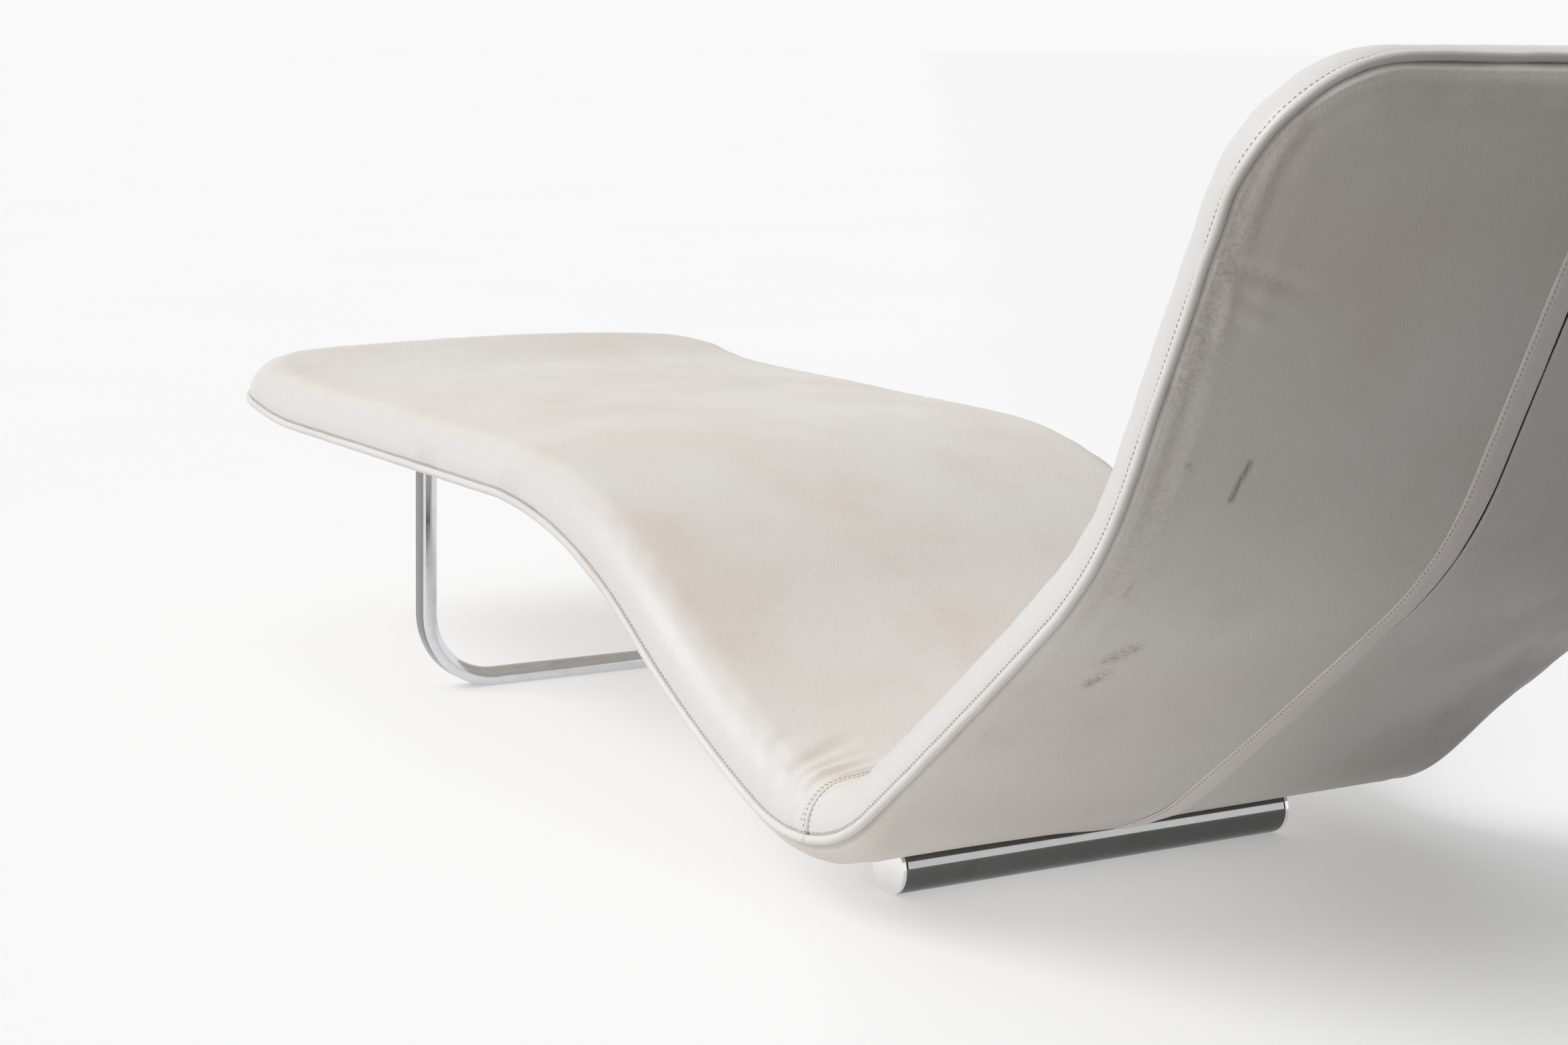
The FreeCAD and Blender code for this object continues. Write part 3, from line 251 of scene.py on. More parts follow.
def grid_quads(index):
    """Quads over a table of vertex numbers."""
    return np.stack([index[:-1, :-1], index[1:, :-1], index[1:, 1:], index[:-1, 1:]], -1).reshape(-1, 4)


def grid_loop(index):
    return round_trip(index[:, 0], index[-1], index[:, -1], index[0])


class Grid:
    """Quads over the plan of the shell: a patch with rings round it, in (s, y)."""

    def __init__(self, column_marks, ring_insets):
        corner_y = HALF_WIDTH - HEAD_RADIUS
        marks = (HEAD_RADIUS, SEAM - SEAM_FINE_BACK, SEAM, SEAM + SEAM_FINE_FRONT, LENGTH - FOOT_RADIUS)
        self.rows = np.concatenate([
            np.linspace(PATCH_INSET, HEAD_RADIUS, CORNER_STEPS + 1)[:-1],
            spaced(marks, (ROW_STEP, SEAM_STEP, SEAM_STEP, ROW_STEP)),
            np.linspace(LENGTH - FOOT_RADIUS, LENGTH - PATCH_INSET, CORNER_STEPS + 1)[1:],
        ])
        marks = (-corner_y, *column_marks, corner_y)
        middle = spaced(marks, [ROW_STEP] * (len(marks) - 1))
        outer = np.linspace(PATCH_INSET - HALF_WIDTH, -corner_y, CORNER_STEPS + 1)[:-1]
        self.columns = np.concatenate([outer, middle, -outer[::-1]])
        self.build(ring_insets)

    def side(self):
        """Outline of the near side with its directions, between corner middles."""
        straight = self.rows[CORNER_STEPS + 1:-CORNER_STEPS - 1]
        run = np.full((len(straight), 4), (0.0, -HALF_WIDTH, 0.0, -1.0))
        run[:, 0] = straight
        return np.vstack([corner_line(False, 45, 0), run, corner_line(True, 0, 45)])

    def end(self, foot):
        """Outline of an end with its directions, between corner middles."""
        near = corner_line(foot, 45, 90)
        straight = self.columns[CORNER_STEPS + 1:-CORNER_STEPS - 1]
        head_y = HALF_WIDTH - HEAD_RADIUS
        corner_y = HALF_WIDTH - (FOOT_RADIUS if foot else HEAD_RADIUS)
        even = corner_y * EVEN_SHARE
        run = np.full((len(straight), 4), (near[-1, 0], 0.0, near[-1, 2], 0.0))
        run[:, 1] = np.interp(straight, (-head_y, -even, even, head_y), (-corner_y, -even, even, corner_y))
        return np.vstack([near, run, near[::-1] * MIRROR])

    def build(self, ring_insets):
        near, head, foot = self.side(), self.end(False), self.end(True)
        base = np.stack(np.meshgrid(self.rows, self.columns, indexing="ij"), -1)
        near_in, head_in, foot_in = (run[:, :2] - PATCH_INSET * run[:, 2:] for run in (near, head, foot))
        near_shift, far_shift = near_in - base[:, 0], near_in * MIRROR[:2] - base[:, -1]
        head_shift, foot_shift = head_in - base[0], foot_in - base[-1]
        near_part = fade(self.columns - self.columns[0], SIDE_FADE)[None, :, None]
        far_part = fade(self.columns[-1] - self.columns, SIDE_FADE)[None, :, None]
        head_part = fade(self.rows - self.rows[0], END_FADE)[:, None, None]
        foot_part = fade(self.rows[-1] - self.rows, END_FADE)[:, None, None]
        patch = base + near_part * near_shift[:, None] + far_part * far_shift[:, None]
        patch = patch + head_part * head_shift[None] + foot_part * foot_shift[None]
        patch -= head_part * (near_part * near_shift[0] + far_part * far_shift[0])
        patch -= foot_part * (near_part * near_shift[-1] + far_part * far_shift[-1])
        outline = round_trip(near, foot, near * MIRROR, head)
        self.outline = outline[:, :2]
        rings = [self.outline - inset * outline[:, 2:] for inset in ring_insets]
        self.plan = np.vstack([patch.reshape(-1, 2)] + rings)
        index = np.arange(base[..., 0].size).reshape(base.shape[:2])
        quads = [grid_quads(index)]
        loop = grid_loop(index)
        for number in range(len(rings)):
            ring = index.size + number * len(outline) + np.arange(len(outline))
            quads.append(np.stack([loop, ring, np.roll(ring, -1), np.roll(loop, -1)], -1))
            loop = ring
        self.quads = np.vstack(quads)

    def part(self, keep):
        """Plan points and quads of the faces whose middle passes a test."""
        middle = self.plan[self.quads].mean(1)
        quads = self.quads[keep(middle[:, 0], middle[:, 1])]
        used, renumbered = np.unique(quads, return_inverse=True)
        return self.plan[used], renumbered.reshape(-1, 4)


# Mesh helpers


def make_object(name, vertices, faces, material):
    faces = faces.tolist() if isinstance(faces, np.ndarray) else faces
    mesh = bpy.data.meshes.new(name)
    mesh.from_pydata(np.asarray(vertices).tolist(), [], faces)
    mesh.polygons.foreach_set("use_smooth", [True] * len(mesh.polygons))
    mesh.update()
    mesh.materials.append(material)
    made = bpy.data.objects.new(name, mesh)
    bpy.context.scene.collection.objects.link(made)
    return made


def dress(made, nodes=()):
    """A piece rides on the lounger and stands for its CAD nodes."""
    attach(made, "lounger")
    if nodes:
        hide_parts(*nodes)
    return made


def read(items, key, width=3):
    """A value of each item, as one row of numbers each."""
    flat = np.empty(len(items) * width)
    items.foreach_get(key, flat)
    return flat.reshape(-1, width)


def set_coordinates(mesh, points):
    mesh.vertices.foreach_set("co", np.asarray(points).ravel())
    mesh.update()


def set_values(mesh, **named):
    """Named values at each vertex."""
    for name, values in named.items():
        layer = mesh.attributes.new(name, "FLOAT", "POINT")
        layer.data.foreach_set("value", np.asarray(values, np.float32))


def modify(made, kind, **values):
    """The result of a modifier becomes the object's mesh."""
    modifier = made.modifiers.new(kind, kind)
    for key, value in values.items():
        setattr(modifier, key, value)
    bpy.context.view_layer.update()
    depsgraph = bpy.context.evaluated_depsgraph_get()
    mesh = bpy.data.meshes.new_from_object(made.evaluated_get(depsgraph), depsgraph=depsgraph)
    made.modifiers.clear()
    made.data = mesh


def smooth(made):
    modify(made, "SUBSURF", levels=1, render_levels=1)


def mark_sharp(made, degrees):
    """Edges over an angle stay crisp."""
    made.data.set_sharp_from_angle(angle=math.radians(degrees))


def tube_faces(rows, sides, flip=False):
    """Quads round a row of equal sections, and a face at both ends."""
    index = np.arange(rows * sides).reshape(rows, sides)
    after = np.roll(index, -1, axis=1)
    corners = [index[:-1], index[1:], after[1:], after[:-1]]
    ends = [index[0], index[-1][::-1]]
    if flip:
        corners = corners[:1] + corners[:0:-1]
        ends = [end[::-1] for end in ends]
    return np.stack(corners, -1).reshape(-1, 4).tolist() + [end.tolist() for end in ends]


def lengths_along(line):
    return np.concatenate([[0], np.cumsum(np.linalg.norm(np.diff(line, axis=0), axis=1))])


def at_lengths(line, wanted):
    """Points of a line at given lengths along it."""
    at = lengths_along(line)
    return np.stack([np.interp(wanted, at, values) for values in line.T], -1)


def resample(line, step):
    """The same line with evenly spaced points."""
    length = lengths_along(line)[-1]
    return at_lengths(line, np.linspace(0, length, int(length / step) + 1))


def edge_vertices(quads, count):
    """Which vertices lie on the open edge of a sheet."""
    edges = np.sort(np.vstack([quads[:, [0, 1]], quads[:, [1, 2]], quads[:, [2, 3]], quads[:, [3, 0]]]), 1)
    found, times = np.unique(edges, axis=0, return_counts=True)
    on_edge = np.zeros(count, bool)
    on_edge[found[times == 1].ravel()] = True
    return on_edge


# Cloth

CLOTH_FRAMES = 20
CLOTH_CAP = 0.0042
CLOTH_HOLD = 0.18
CLOTH_SETTINGS = {
    "quality": 4, "mass": 0.3, "tension_stiffness": 22, "compression_stiffness": 22, "shear_stiffness": 8,
    "bending_stiffness": 0.6, "vertex_group_mass": "pins", "pin_stiffness": 6,
    "use_pressure": True, "uniform_pressure_force": 4.0,
}


def settle(made, pinned):
    """The cover takes its own tension: pressed out from inside, held at its seams."""
    start = read(made.data.vertices, "co")
    pins = made.vertex_groups.new(name="pins")
    for i, weight in enumerate(np.where(pinned, 1.0, CLOTH_HOLD)):
        pins.add([i], float(weight), "REPLACE")
    cloth = made.modifiers.new("cloth", "CLOTH")
    for key, value in CLOTH_SETTINGS.items():
        setattr(cloth.settings, key, value)
    cloth.settings.effector_weights.gravity = 0
    cloth.collision_settings.use_collision = False
    cloth.collision_settings.use_self_collision = False
    cloth.point_cache.frame_start = 1
    cloth.point_cache.frame_end = CLOTH_FRAMES
    scene = bpy.context.scene
    for number in range(1, CLOTH_FRAMES + 1):
        scene.frame_set(number)
    depsgraph = bpy.context.evaluated_depsgraph_get()
    moved = read(made.evaluated_get(depsgraph).data.vertices, "co") - start
    made.modifiers.clear()
    made.vertex_groups.clear()
    scene.frame_set(1)
    length = np.linalg.norm(moved, axis=1, keepdims=True)
    print(made.name, "cloth moved", float(length.mean()), float(length.max()))
    set_coordinates(made.data, start + moved * CLOTH_CAP / (CLOTH_CAP + length))


# Folds, puckers and marks

RIPPLE_WAVES = 7
RIPPLE_SPREAD = (0.65, 1.4)
RIPPLE_HEIGHT = 1.8
RIDGE_HEIGHT = 0.45
RIDGE_PLACE = 1.7
RIDGE_WIDTH = 0.8
FOLD_START = 0.12
FOLD_ROUND = 0.7


def bell(distance, width):
    return np.exp(-(distance / width) ** 2)


def ripple(wavelength, seed, s, y=0.0):
    """Soft irregular waves of about one wavelength, between -1 and 1."""
    random = np.random.default_rng(seed)
    total = np.zeros_like(s)
    for _ in range(RIPPLE_WAVES):
        angle = random.uniform(0, 2 * math.pi)
        frequency = 2 * math.pi / wavelength * random.uniform(*RIPPLE_SPREAD)
        phase = random.uniform(0, 2 * math.pi)
        total += np.sin(frequency * (s * math.cos(angle) + y * math.sin(angle)) + phase)
    return total / RIPPLE_WAVES * RIPPLE_HEIGHT


def along_path(s, y, path):
    """Distance from a path of (s, y) points, and the share of its length of the nearest point."""
    path = np.array(path)
    runs = np.linalg.norm(np.diff(path, axis=0), axis=1)
    best = np.full(s.shape, np.inf)
    share = np.zeros(s.shape)
    done = 0.0
    for (s0, y0), (s1, y1), run in zip(path, path[1:], runs):
        t = np.clip(((s - s0) * (s1 - s0) + (y - y0) * (y1 - y0)) / run ** 2, 0, 1)
        distance = np.hypot(s - s0 - t * (s1 - s0), y - y0 - t * (y1 - y0))
        nearer = distance < best
        best = np.where(nearer, distance, best)
        share = np.where(nearer, (done + t * run) / runs.sum(), share)
        done += run
    return best, share


def fold(s, y, path, width, depth):
    """A valley along a path with a low ridge on both sides; it runs out at its ends."""
    distance, share = along_path(s, y, path)
    across = distance / width
    shape = RIDGE_HEIGHT * bell(across - RIDGE_PLACE, RIDGE_WIDTH) - bell(across, 1)
    along = np.clip(FOLD_START + (1 - FOLD_START) * share, 0, 1)
    return depth * shape * np.sin(math.pi * along) ** FOLD_ROUND


def add_folds(height, s, y, table, where=True):
    for path, width, depth in table:
        height += np.where(where, fold(s, y, path, width, depth), 0)


# Tables of folds: path in (s, y), width and depth
# Seat leather at the crosswise seam
SEAT_FOLDS = (
    (((0.903, -0.319), (0.911, -0.290), (0.919, -0.262), (0.926, -0.225)), 0.0075, 0.0026),
    (((0.942, -0.312), (0.955, -0.286), (0.971, -0.252), (0.979, -0.225)), 0.0085, 0.0016),
    (((0.891, -0.316), (0.896, -0.270), (0.901, -0.215), (0.902, -0.160)), 0.0050, 0.0014),
    (((0.922, -0.316), (0.934, -0.290), (0.943, -0.255)), 0.0060, 0.0013),
    (((0.978, -0.318), (0.992, -0.298), (1.004, -0.272)), 0.0075, 0.0009),
    (((0.905, 0.318), (0.914, 0.282), (0.921, 0.235)), 0.0075, 0.0021),
    (((0.946, 0.312), (0.962, 0.276), (0.974, 0.232)), 0.0080, 0.0013),
    (((0.893, 0.300), (0.899, 0.240), (0.902, 0.180)), 0.0050, 0.0011),
    (((0.897, -0.110), (0.900, -0.030), (0.898, 0.060), (0.901, 0.130)), 0.0055, 0.0007),
)
# Folds of the back leather just above that seam
BACK_FOLDS = (
    (((0.868, -0.322), (0.856, -0.316), (0.843, -0.308)), 0.0045, 0.0011),
    (((0.866, 0.320), (0.852, 0.314), (0.838, 0.304)), 0.0045, 0.0010),
    (((0.872, -0.200), (0.868, -0.080), (0.871, 0.050), (0.867, 0.190)), 0.0060, 0.0006),
)
# Dents of the side under the leg rest, at the near and the far side
REST_DENTS = (
    (((1.430, -0.324), (1.470, -0.321), (1.530, -0.323)), 0.0040, 0.0012),
    (((1.660, -0.324), (1.700, -0.320), (1.750, -0.323)), 0.0045, 0.0015),
    (((1.560, 0.324), (1.610, 0.321), (1.660, 0.323)), 0.0045, 0.0011),
)
# Puckers of the rear panel near the piping, and the crease across it
PANEL_FOLDS = (
    (((0.048, -0.291), (0.075, -0.301), (0.115, -0.3065), (0.149, -0.3045)), 0.0060, -0.0017),
    (((0.160, -0.3050), (0.185, -0.3010), (0.215, -0.2985)), 0.0055, -0.0012),
    (((0.090, -0.281), (0.125, -0.289), (0.160, -0.290), (0.200, -0.284), (0.250, -0.286)), 0.0085, 0.0008),
    (((0.151, -0.306), (0.156, -0.284), (0.165, -0.250), (0.170, -0.225)), 0.0060, 0.0010),
    (((0.176, -0.304), (0.190, -0.276), (0.196, -0.250)), 0.0050, -0.0008),
    (((0.230, -0.304), (0.300, -0.301), (0.370, -0.304)), 0.0060, 0.0007),
    (((0.056, 0.293), (0.100, 0.304), (0.160, 0.302), (0.215, 0.298)), 0.0060, -0.0015),
    (((0.160, 0.302), (0.168, 0.272), (0.171, 0.240)), 0.0050, 0.0008),
    (((0.820, -0.285), (0.850, -0.292), (0.885, -0.288)), 0.0070, 0.0008),
    (((0.830, 0.282), (0.860, 0.291), (0.890, 0.287)), 0.0070, 0.0008),
)
# Waves of a leather: height, wavelength and seed, and the share that stays at the outline
FRONT_WAVE = (0.0007, 0.17, 3, 0.15)
PANEL_WAVE = (0.0006, 0.20, 11, 0.1)
# Waves along an edge: height, inset and width, wavelength and seed
FRONT_EDGE_WAVE = (0.0005, 0.020, 0.014, 0.045, 4)
PANEL_EDGE_WAVE = (0.0006, 0.024, 0.012, 0.055, 12)
WAVE_INSET = 0.03
VALLEY_DEPTH = 0.0016
VALLEY_WIDTH = 0.0022
PUCKER_HEIGHT = 0.00028
PUCKER_PITCH = 0.019
PUCKER_SHIFT = 2.2
PUCKER_SHIFT_WAVE = (0.09, 6)
PUCKER_PLACE = 0.011
PUCKER_WIDTH = 0.008
BAR_CLEAR = 0.05
HOLLOW_END = 0.40
HOLLOW_FADE = 0.22
HOLLOW_DEPTH = 0.0024
HOLLOW_INSET = 0.019
HOLLOW_WIDTH = 0.011
BEAD_HEIGHT = 0.0007
BEAD_INSET = 0.0062
BEAD_WIDTH = 0.0011
SAG_DEPTH = 0.0050
SAG_PLACE = LOW_PLACE - 0.040
SAG_REACH = 0.034
SAG_Y = -0.020
SAG_HALF_WIDTH = 0.056


def waves(s, y, inside, height, wavelength, seed, left):
    return height * ripple(wavelength, seed, s, y) * np.clip(inside / WAVE_INSET, left, 1)


def edge_waves(s, y, inside, height, inset, width, wavelength, seed):
    return height * bell(inside - inset, width) * ripple(wavelength, seed, s, y)


def front_relief(s, y):
    """How far the front leather stands off its plain form."""
    inside = edge_distance(s, y)
    height = waves(s, y, inside, *FRONT_WAVE)
    height += edge_waves(s, y, inside, *FRONT_EDGE_WAVE)
    add_folds(height, s, y, SEAT_FOLDS, s > SEAM)
    add_folds(height, s, y, BACK_FOLDS, s < SEAM)
    add_folds(height, s, y, REST_DENTS)
    from_seam = abs(s - SEAM)
    height -= VALLEY_DEPTH * bell(from_seam, VALLEY_WIDTH)
    pucker = np.sin(2 * math.pi * y / PUCKER_PITCH + PUCKER_SHIFT * ripple(*PUCKER_SHIFT_WAVE, s, y))
    height += PUCKER_HEIGHT * pucker * bell(from_seam - PUCKER_PLACE, PUCKER_WIDTH)
    return height


def sag(s, y):
    """The back leather hangs a little over the near edge of the foot bar, at the zip."""
    along = np.clip(1 - abs(s - SAG_PLACE) / SAG_REACH, 0, 1)
    return SAG_DEPTH * np.sin(along * math.pi / 2) ** 2 * bell(y - SAG_Y, SAG_HALF_WIDTH)


def panel_relief(s, y):
    """How far the rear leather stands off its plain form."""
    inside = edge_distance(s, y)
    height = waves(s, y, inside, *PANEL_WAVE)
    height += edge_waves(s, y, inside, *PANEL_EDGE_WAVE)
    height *= 1 - bell(s - LOW_PLACE, BAR_CLEAR)
    add_folds(height, s, y, PANEL_FOLDS)
    upper = fade(np.maximum(s - HOLLOW_END, 0), HOLLOW_FADE)
    height -= HOLLOW_DEPTH * upper * bell(inside - HOLLOW_INSET, HOLLOW_WIDTH)
    height += BEAD_HEIGHT * bell(inside - BEAD_INSET, BEAD_WIDTH)
    return height + sag(s, y)


# Dark scuffs, and brownish marks that are partly smudges and partly painted shade: path in (s, y), width and
# strength
SCUFFS = (
    (((0.306, -0.2365), (0.322, -0.2400), (0.336, -0.2415)), 0.0022, 1.0),
    (((0.304, -0.291), (0.309, -0.286)), 0.0016, 0.5),
    (((0.546, -0.253), (0.538, -0.251)), 0.0026, 0.45),
    (((0.410, -0.292), (0.424, -0.291)), 0.0016, 0.35),
    (((0.350, 0.160), (0.366, 0.166)), 0.0018, 0.5),
    (((0.640, 0.230), (0.662, 0.226)), 0.0020, 0.4),
)
# The first two rows are stains. The sixth row is painted shade, a band along the hollow beside the near piping at
# the head. The others darken the leather close to that piping, along the crease across the panel, at a fold by the
# seam and over a broad patch on the far half.
SMUDGES_AND_PAINTED_SHADE = (
    (((0.493, -0.246), (0.506, -0.256)), 0.0090, 0.85),
    (((0.530, -0.249), (0.541, -0.254)), 0.0070, 0.85),
    (((0.110, -0.316), (0.180, -0.314), (0.250, -0.316)), 0.009, 0.25),
    (((0.155, -0.292), (0.163, -0.262)), 0.006, 0.25),
    (((0.870, -0.300), (0.890, -0.290)), 0.014, 0.18),
    (((0.050, -0.297), (0.120, -0.306), (0.250, -0.304), (0.420, -0.302)), 0.018, 0.22),
    (((0.700, 0.240), (0.760, 0.255)), 0.030, 0.4),
)
# Darker marks along the dents of the side under the leg rest
SIDE_DENT_DARKENING = (
    (((1.660, -0.3235), (1.705, -0.3235)), 0.004, 0.22),
    (((1.470, -0.3235), (1.510, -0.3235)), 0.004, 0.16),
)


def marks(s, y, table):
    """Strength of the marks of one kind at each place."""
    total = np.zeros_like(s)
    for path, width, strength in table:
        total += strength * bell(along_path(s, y, path)[0], width)
    return np.clip(total, 0, 1)


# Materials


class Nodes:
    """A node tree, emptied and then filled."""

    def __init__(self, owner):
        owner.use_nodes = True
        self.tree = owner.node_tree
        self.tree.nodes.clear()

    def node(self, kind, **values):
        made = self.tree.nodes.new(f"ShaderNode{kind}")
        for key, value in values.items():
            if key in made.inputs:
                self.put(made.inputs[key], value)
            else:
                setattr(made, key, value)
        return made

    def put(self, socket, value):
        if isinstance(value, bpy.types.NodeSocket):
            self.tree.links.new(value, socket)
        else:
            socket.default_value = value

    def fill(self, inputs, *values):
        for socket, value in zip(inputs, values):
            self.put(socket, value)

    def span(self, value, low, high, to_low=0.0, to_high=1.0):
        made = self.node("MapRange")
        self.fill(made.inputs, value, low, high, to_low, to_high)
        return made.outputs["Result"]

    def mix(self, factor, first, second):
        made = self.node("Mix", data_type="RGBA")
        colours = [tint if isinstance(tint, bpy.types.NodeSocket) else (*tint, 1.0) for tint in (first, second)]
        self.fill((made.inputs[0], made.inputs[6], made.inputs[7]), factor, *colours)
        return made.outputs[2]

    def math(self, operation, first, second=0.0):
        made = self.node("Math", operation=operation)
        self.fill(made.inputs, first, second)
        return made.outputs[0]

    def choose(self, factor, first, second):
        """One shader or the other, by a factor."""
        made = self.node("MixShader")
        self.fill(made.inputs, factor, first, second)
        return made.outputs[0]

    def seen(self, path):
        """1 for rays from the camera, and in metal and glass."""
        seen = self.math("MAXIMUM", path.outputs["Is Camera Ray"], path.outputs["Is Glossy Ray"])
        return self.math("MAXIMUM", seen, path.outputs["Is Transmission Ray"])


class Surface(Nodes):
    """A node material with one principled shader."""

    def __init__(self, name):
        self.material = bpy.data.materials.new(name)
        super().__init__(self.material)
        self.output = self.node("OutputMaterial")
        self.shader = self.node("BsdfPrincipled")
        self.put(self.output.inputs[0], self.shader.outputs[0])
        self.position = self.node("TexCoord").outputs["Object"]

    def set(self, **values):
        for key, value in values.items():
            self.put(self.shader.inputs[key.replace("_", " ")], value)

    def noise(self, scale, detail=3.0, rough=0.55, coordinates=None):
        made = self.node("TexNoise", Scale=scale, Detail=detail, Roughness=rough)
        self.put(made.inputs["Vector"], coordinates or self.position)
        return made.outputs["Fac"]

    def cells(self, scale, feature="F1"):
        made = self.node("TexVoronoi", feature=feature, Scale=scale)
        self.put(made.inputs["Vector"], self.position)
        return made.outputs["Distance"]

    def bump(self, *layers):
        """Each layer is a height and its depth in metres; the bumps follow one another."""
        normal = None
        for height, depth in layers:
            made = self.node("Bump", Strength=1.0, Distance=depth, Height=height)
            if normal:
                self.put(made.inputs["Normal"], normal)
            normal = made.outputs[0]
        self.set(Normal=normal)

    def value(self, name):
        return self.node("Attribute", attribute_name=name).outputs["Fac"]


SIDE_PAINTED_SHADE = (0.640, 0.628, 0.612)
SPECK = (0.42, 0.36, 0.30)
SMUDGE_AND_SHADE_TINT = (0.30, 0.23, 0.17)
SCUFF = (0.11, 0.10, 0.09)
PATCH_TINT = (0.9, 0.86, 0.8)


def shaded(colour, factor, lift=0.0):
    return tuple(min(1.0, part * factor + lift) for part in colour)


def leather(name, light, warm, grain_depth, rough_low, rough_high, marked_and_shaded=True):
    """Pigmented hide: pebbled grain, cloudy warm tints, a worn satin finish."""
    surface = Surface(name)
    clouds = surface.span(surface.noise(3.1, 3.0, 0.6), 0.40, 0.66)
    colour = surface.mix(surface.math("MULTIPLY", clouds, 0.75), light, warm)
    patches = surface.span(surface.noise(13.0, 4.0, 0.62), 0.52, 0.74, 0.0, 0.22)
    colour = surface.mix(patches, colour, tuple(a * b for a, b in zip(warm, PATCH_TINT)))
    if marked_and_shaded:
        # Painted shade: the side strip turns a darker grey, toning down the strong light on the sides
        colour = surface.mix(surface.value("side"), colour, SIDE_PAINTED_SHADE)
    specks = surface.span(surface.noise(190.0, 2.0), 0.66, 0.74, 0.0, 0.16)
    colour = surface.mix(specks, colour, SPECK)
    rough = surface.span(surface.noise(9.0, 4.0), 0.35, 0.65, rough_low, rough_high)
    if marked_and_shaded:
        # Brownish marks: smudges, and painted shade along hollows, creases and folds
        patchy = surface.span(surface.noise(230.0, 4.0, 0.7), 0.42, 0.60, 0.15, 1.0)
        smudge = surface.math("MULTIPLY", surface.math("MULTIPLY", surface.value("smudge"), patchy), 0.9)
        colour = surface.mix(smudge, colour, SMUDGE_AND_SHADE_TINT)
        colour = surface.mix(surface.math("MULTIPLY", surface.value("scuff"), 0.8), colour, SCUFF)
    pebbles = surface.cells(620.0)
    hairline = surface.span(surface.cells(260.0, "DISTANCE_TO_EDGE"), 0.0, 0.10)
    soft = surface.noise(42.0, 4.0, 0.6)
    surface.bump((soft, grain_depth * 3.2), (hairline, grain_depth * 0.5), (pebbles, grain_depth))
    surface.set(Base_Color=colour, Roughness=rough)
    surface.set(Specular_IOR_Level=0.5, Coat_Weight=0.10, Coat_Roughness=0.30)
    return surface.material


def metal(name, colour, rough_low, rough_high, smudge_share=0.3, brush=None):
    """Plated or brushed metal with faint handling marks."""
    surface = Surface(name)
    smears = surface.span(surface.noise(38.0, 5.0, 0.65), 0.45, 0.75)
    tint = surface.mix(surface.math("MULTIPLY", smears, smudge_share), colour, shaded(colour, 0.72))
    rough = surface.span(surface.noise(64.0, 4.0, 0.6), 0.30, 0.75, rough_low, rough_high)
    surface.set(Base_Color=tint, Roughness=rough, Metallic=1.0)
    layers = [(surface.noise(420.0, 3.0), 0.00001)]
    if brush:
        stretched = surface.node("Mapping")
        surface.put(stretched.inputs["Vector"], surface.position)
        stretched.inputs["Scale"].default_value = brush
        layers.append((surface.noise(1.0, 2.0, 0.5, stretched.outputs[0]), 0.00002))
    surface.bump(*layers)
    return surface.material


def paint(name, colour, rough):
    """Powder coat with a fine orange-peel skin."""
    surface = Surface(name)
    worn = surface.span(surface.noise(30.0, 4.0), 0.4, 0.7, 0.0, 0.5)
    surface.set(Base_Color=surface.mix(worn, colour, shaded(colour, 1.5)))
    surface.set(Roughness=surface.span(surface.noise(55.0), 0.3, 0.7, rough - 0.08, rough + 0.08))
    surface.bump((surface.noise(900.0, 2.0), 0.00004))
    return surface.material


def woven(name, colour, pitch, depth):
    """Plain weave of two crossing sets of yarn."""
    surface = Surface(name)
    waves = []
    for direction in ("X", "Y"):
        made = surface.node("TexWave", bands_direction=direction, Scale=1 / pitch / 2, Distortion=0.6)
        surface.put(made.inputs["Vector"], surface.position)
        waves.append(made.outputs["Fac"])
    weave = surface.math("MULTIPLY", waves[0], waves[1])
    tint = surface.mix(weave, shaded(colour, 0.6), colour)
    fuzz = surface.span(surface.noise(300.0), 0.4, 0.7, 0.0, 0.2)
    surface.set(Base_Color=surface.mix(fuzz, tint, shaded(colour, 1.2)))
    surface.set(Roughness=surface.span(surface.noise(80.0), 0.3, 0.7, 0.75, 0.92))
    surface.bump((weave, depth))
    return surface.material


def plastic(name, colour, rough):
    """Moulded plastic or rubber with a matt texture."""
    surface = Surface(name)
    dust = surface.span(surface.noise(26.0, 4.0), 0.5, 0.8, 0.0, 0.25)
    surface.set(Base_Color=surface.mix(dust, colour, shaded(colour, 0.8, 0.05)))
    surface.set(Roughness=surface.span(surface.noise(70.0), 0.3, 0.7, rough - 0.06, rough + 0.06))
    surface.bump((surface.cells(1100.0), 0.00003))
    return surface.material


FRONT_LEATHER = leather("front_leather", (0.715, 0.680, 0.635), (0.680, 0.600, 0.535), 0.00013, 0.36, 0.50)
REAR_LEATHER = leather("rear_leather", (0.690, 0.655, 0.615), (0.640, 0.575, 0.520), 0.00014, 0.34, 0.50)
PIPING_LEATHER = leather(
    "piping_leather", (0.690, 0.672, 0.648), (0.640, 0.602, 0.565), 0.00009, 0.34, 0.46, marked_and_shaded=False
)
# Painted light: the flap's leather is made lighter than the rear panels' leather, so that the flap reads brighter
FLAP_PAINTED_LIGHT_LEATHER = leather(
    "flap_painted_light_leather", (0.800, 0.742, 0.704), (0.730, 0.660, 0.610), 0.00012, 0.42, 0.55, marked_and_shaded=False
)
CHROME = metal("chrome", (0.74, 0.75, 0.77), 0.07, 0.20, 0.35)
# Painted reflection: a near-black copy of the chrome for the foot bar's tube, standing for the dark surroundings it
# mirrors
CHROME_PAINTED_DARK_REFLECTION = metal("chrome_painted_dark_reflection", (0.150, 0.150, 0.149), 0.16, 0.30, 0.45, brush=(900.0, 4.0, 900.0))
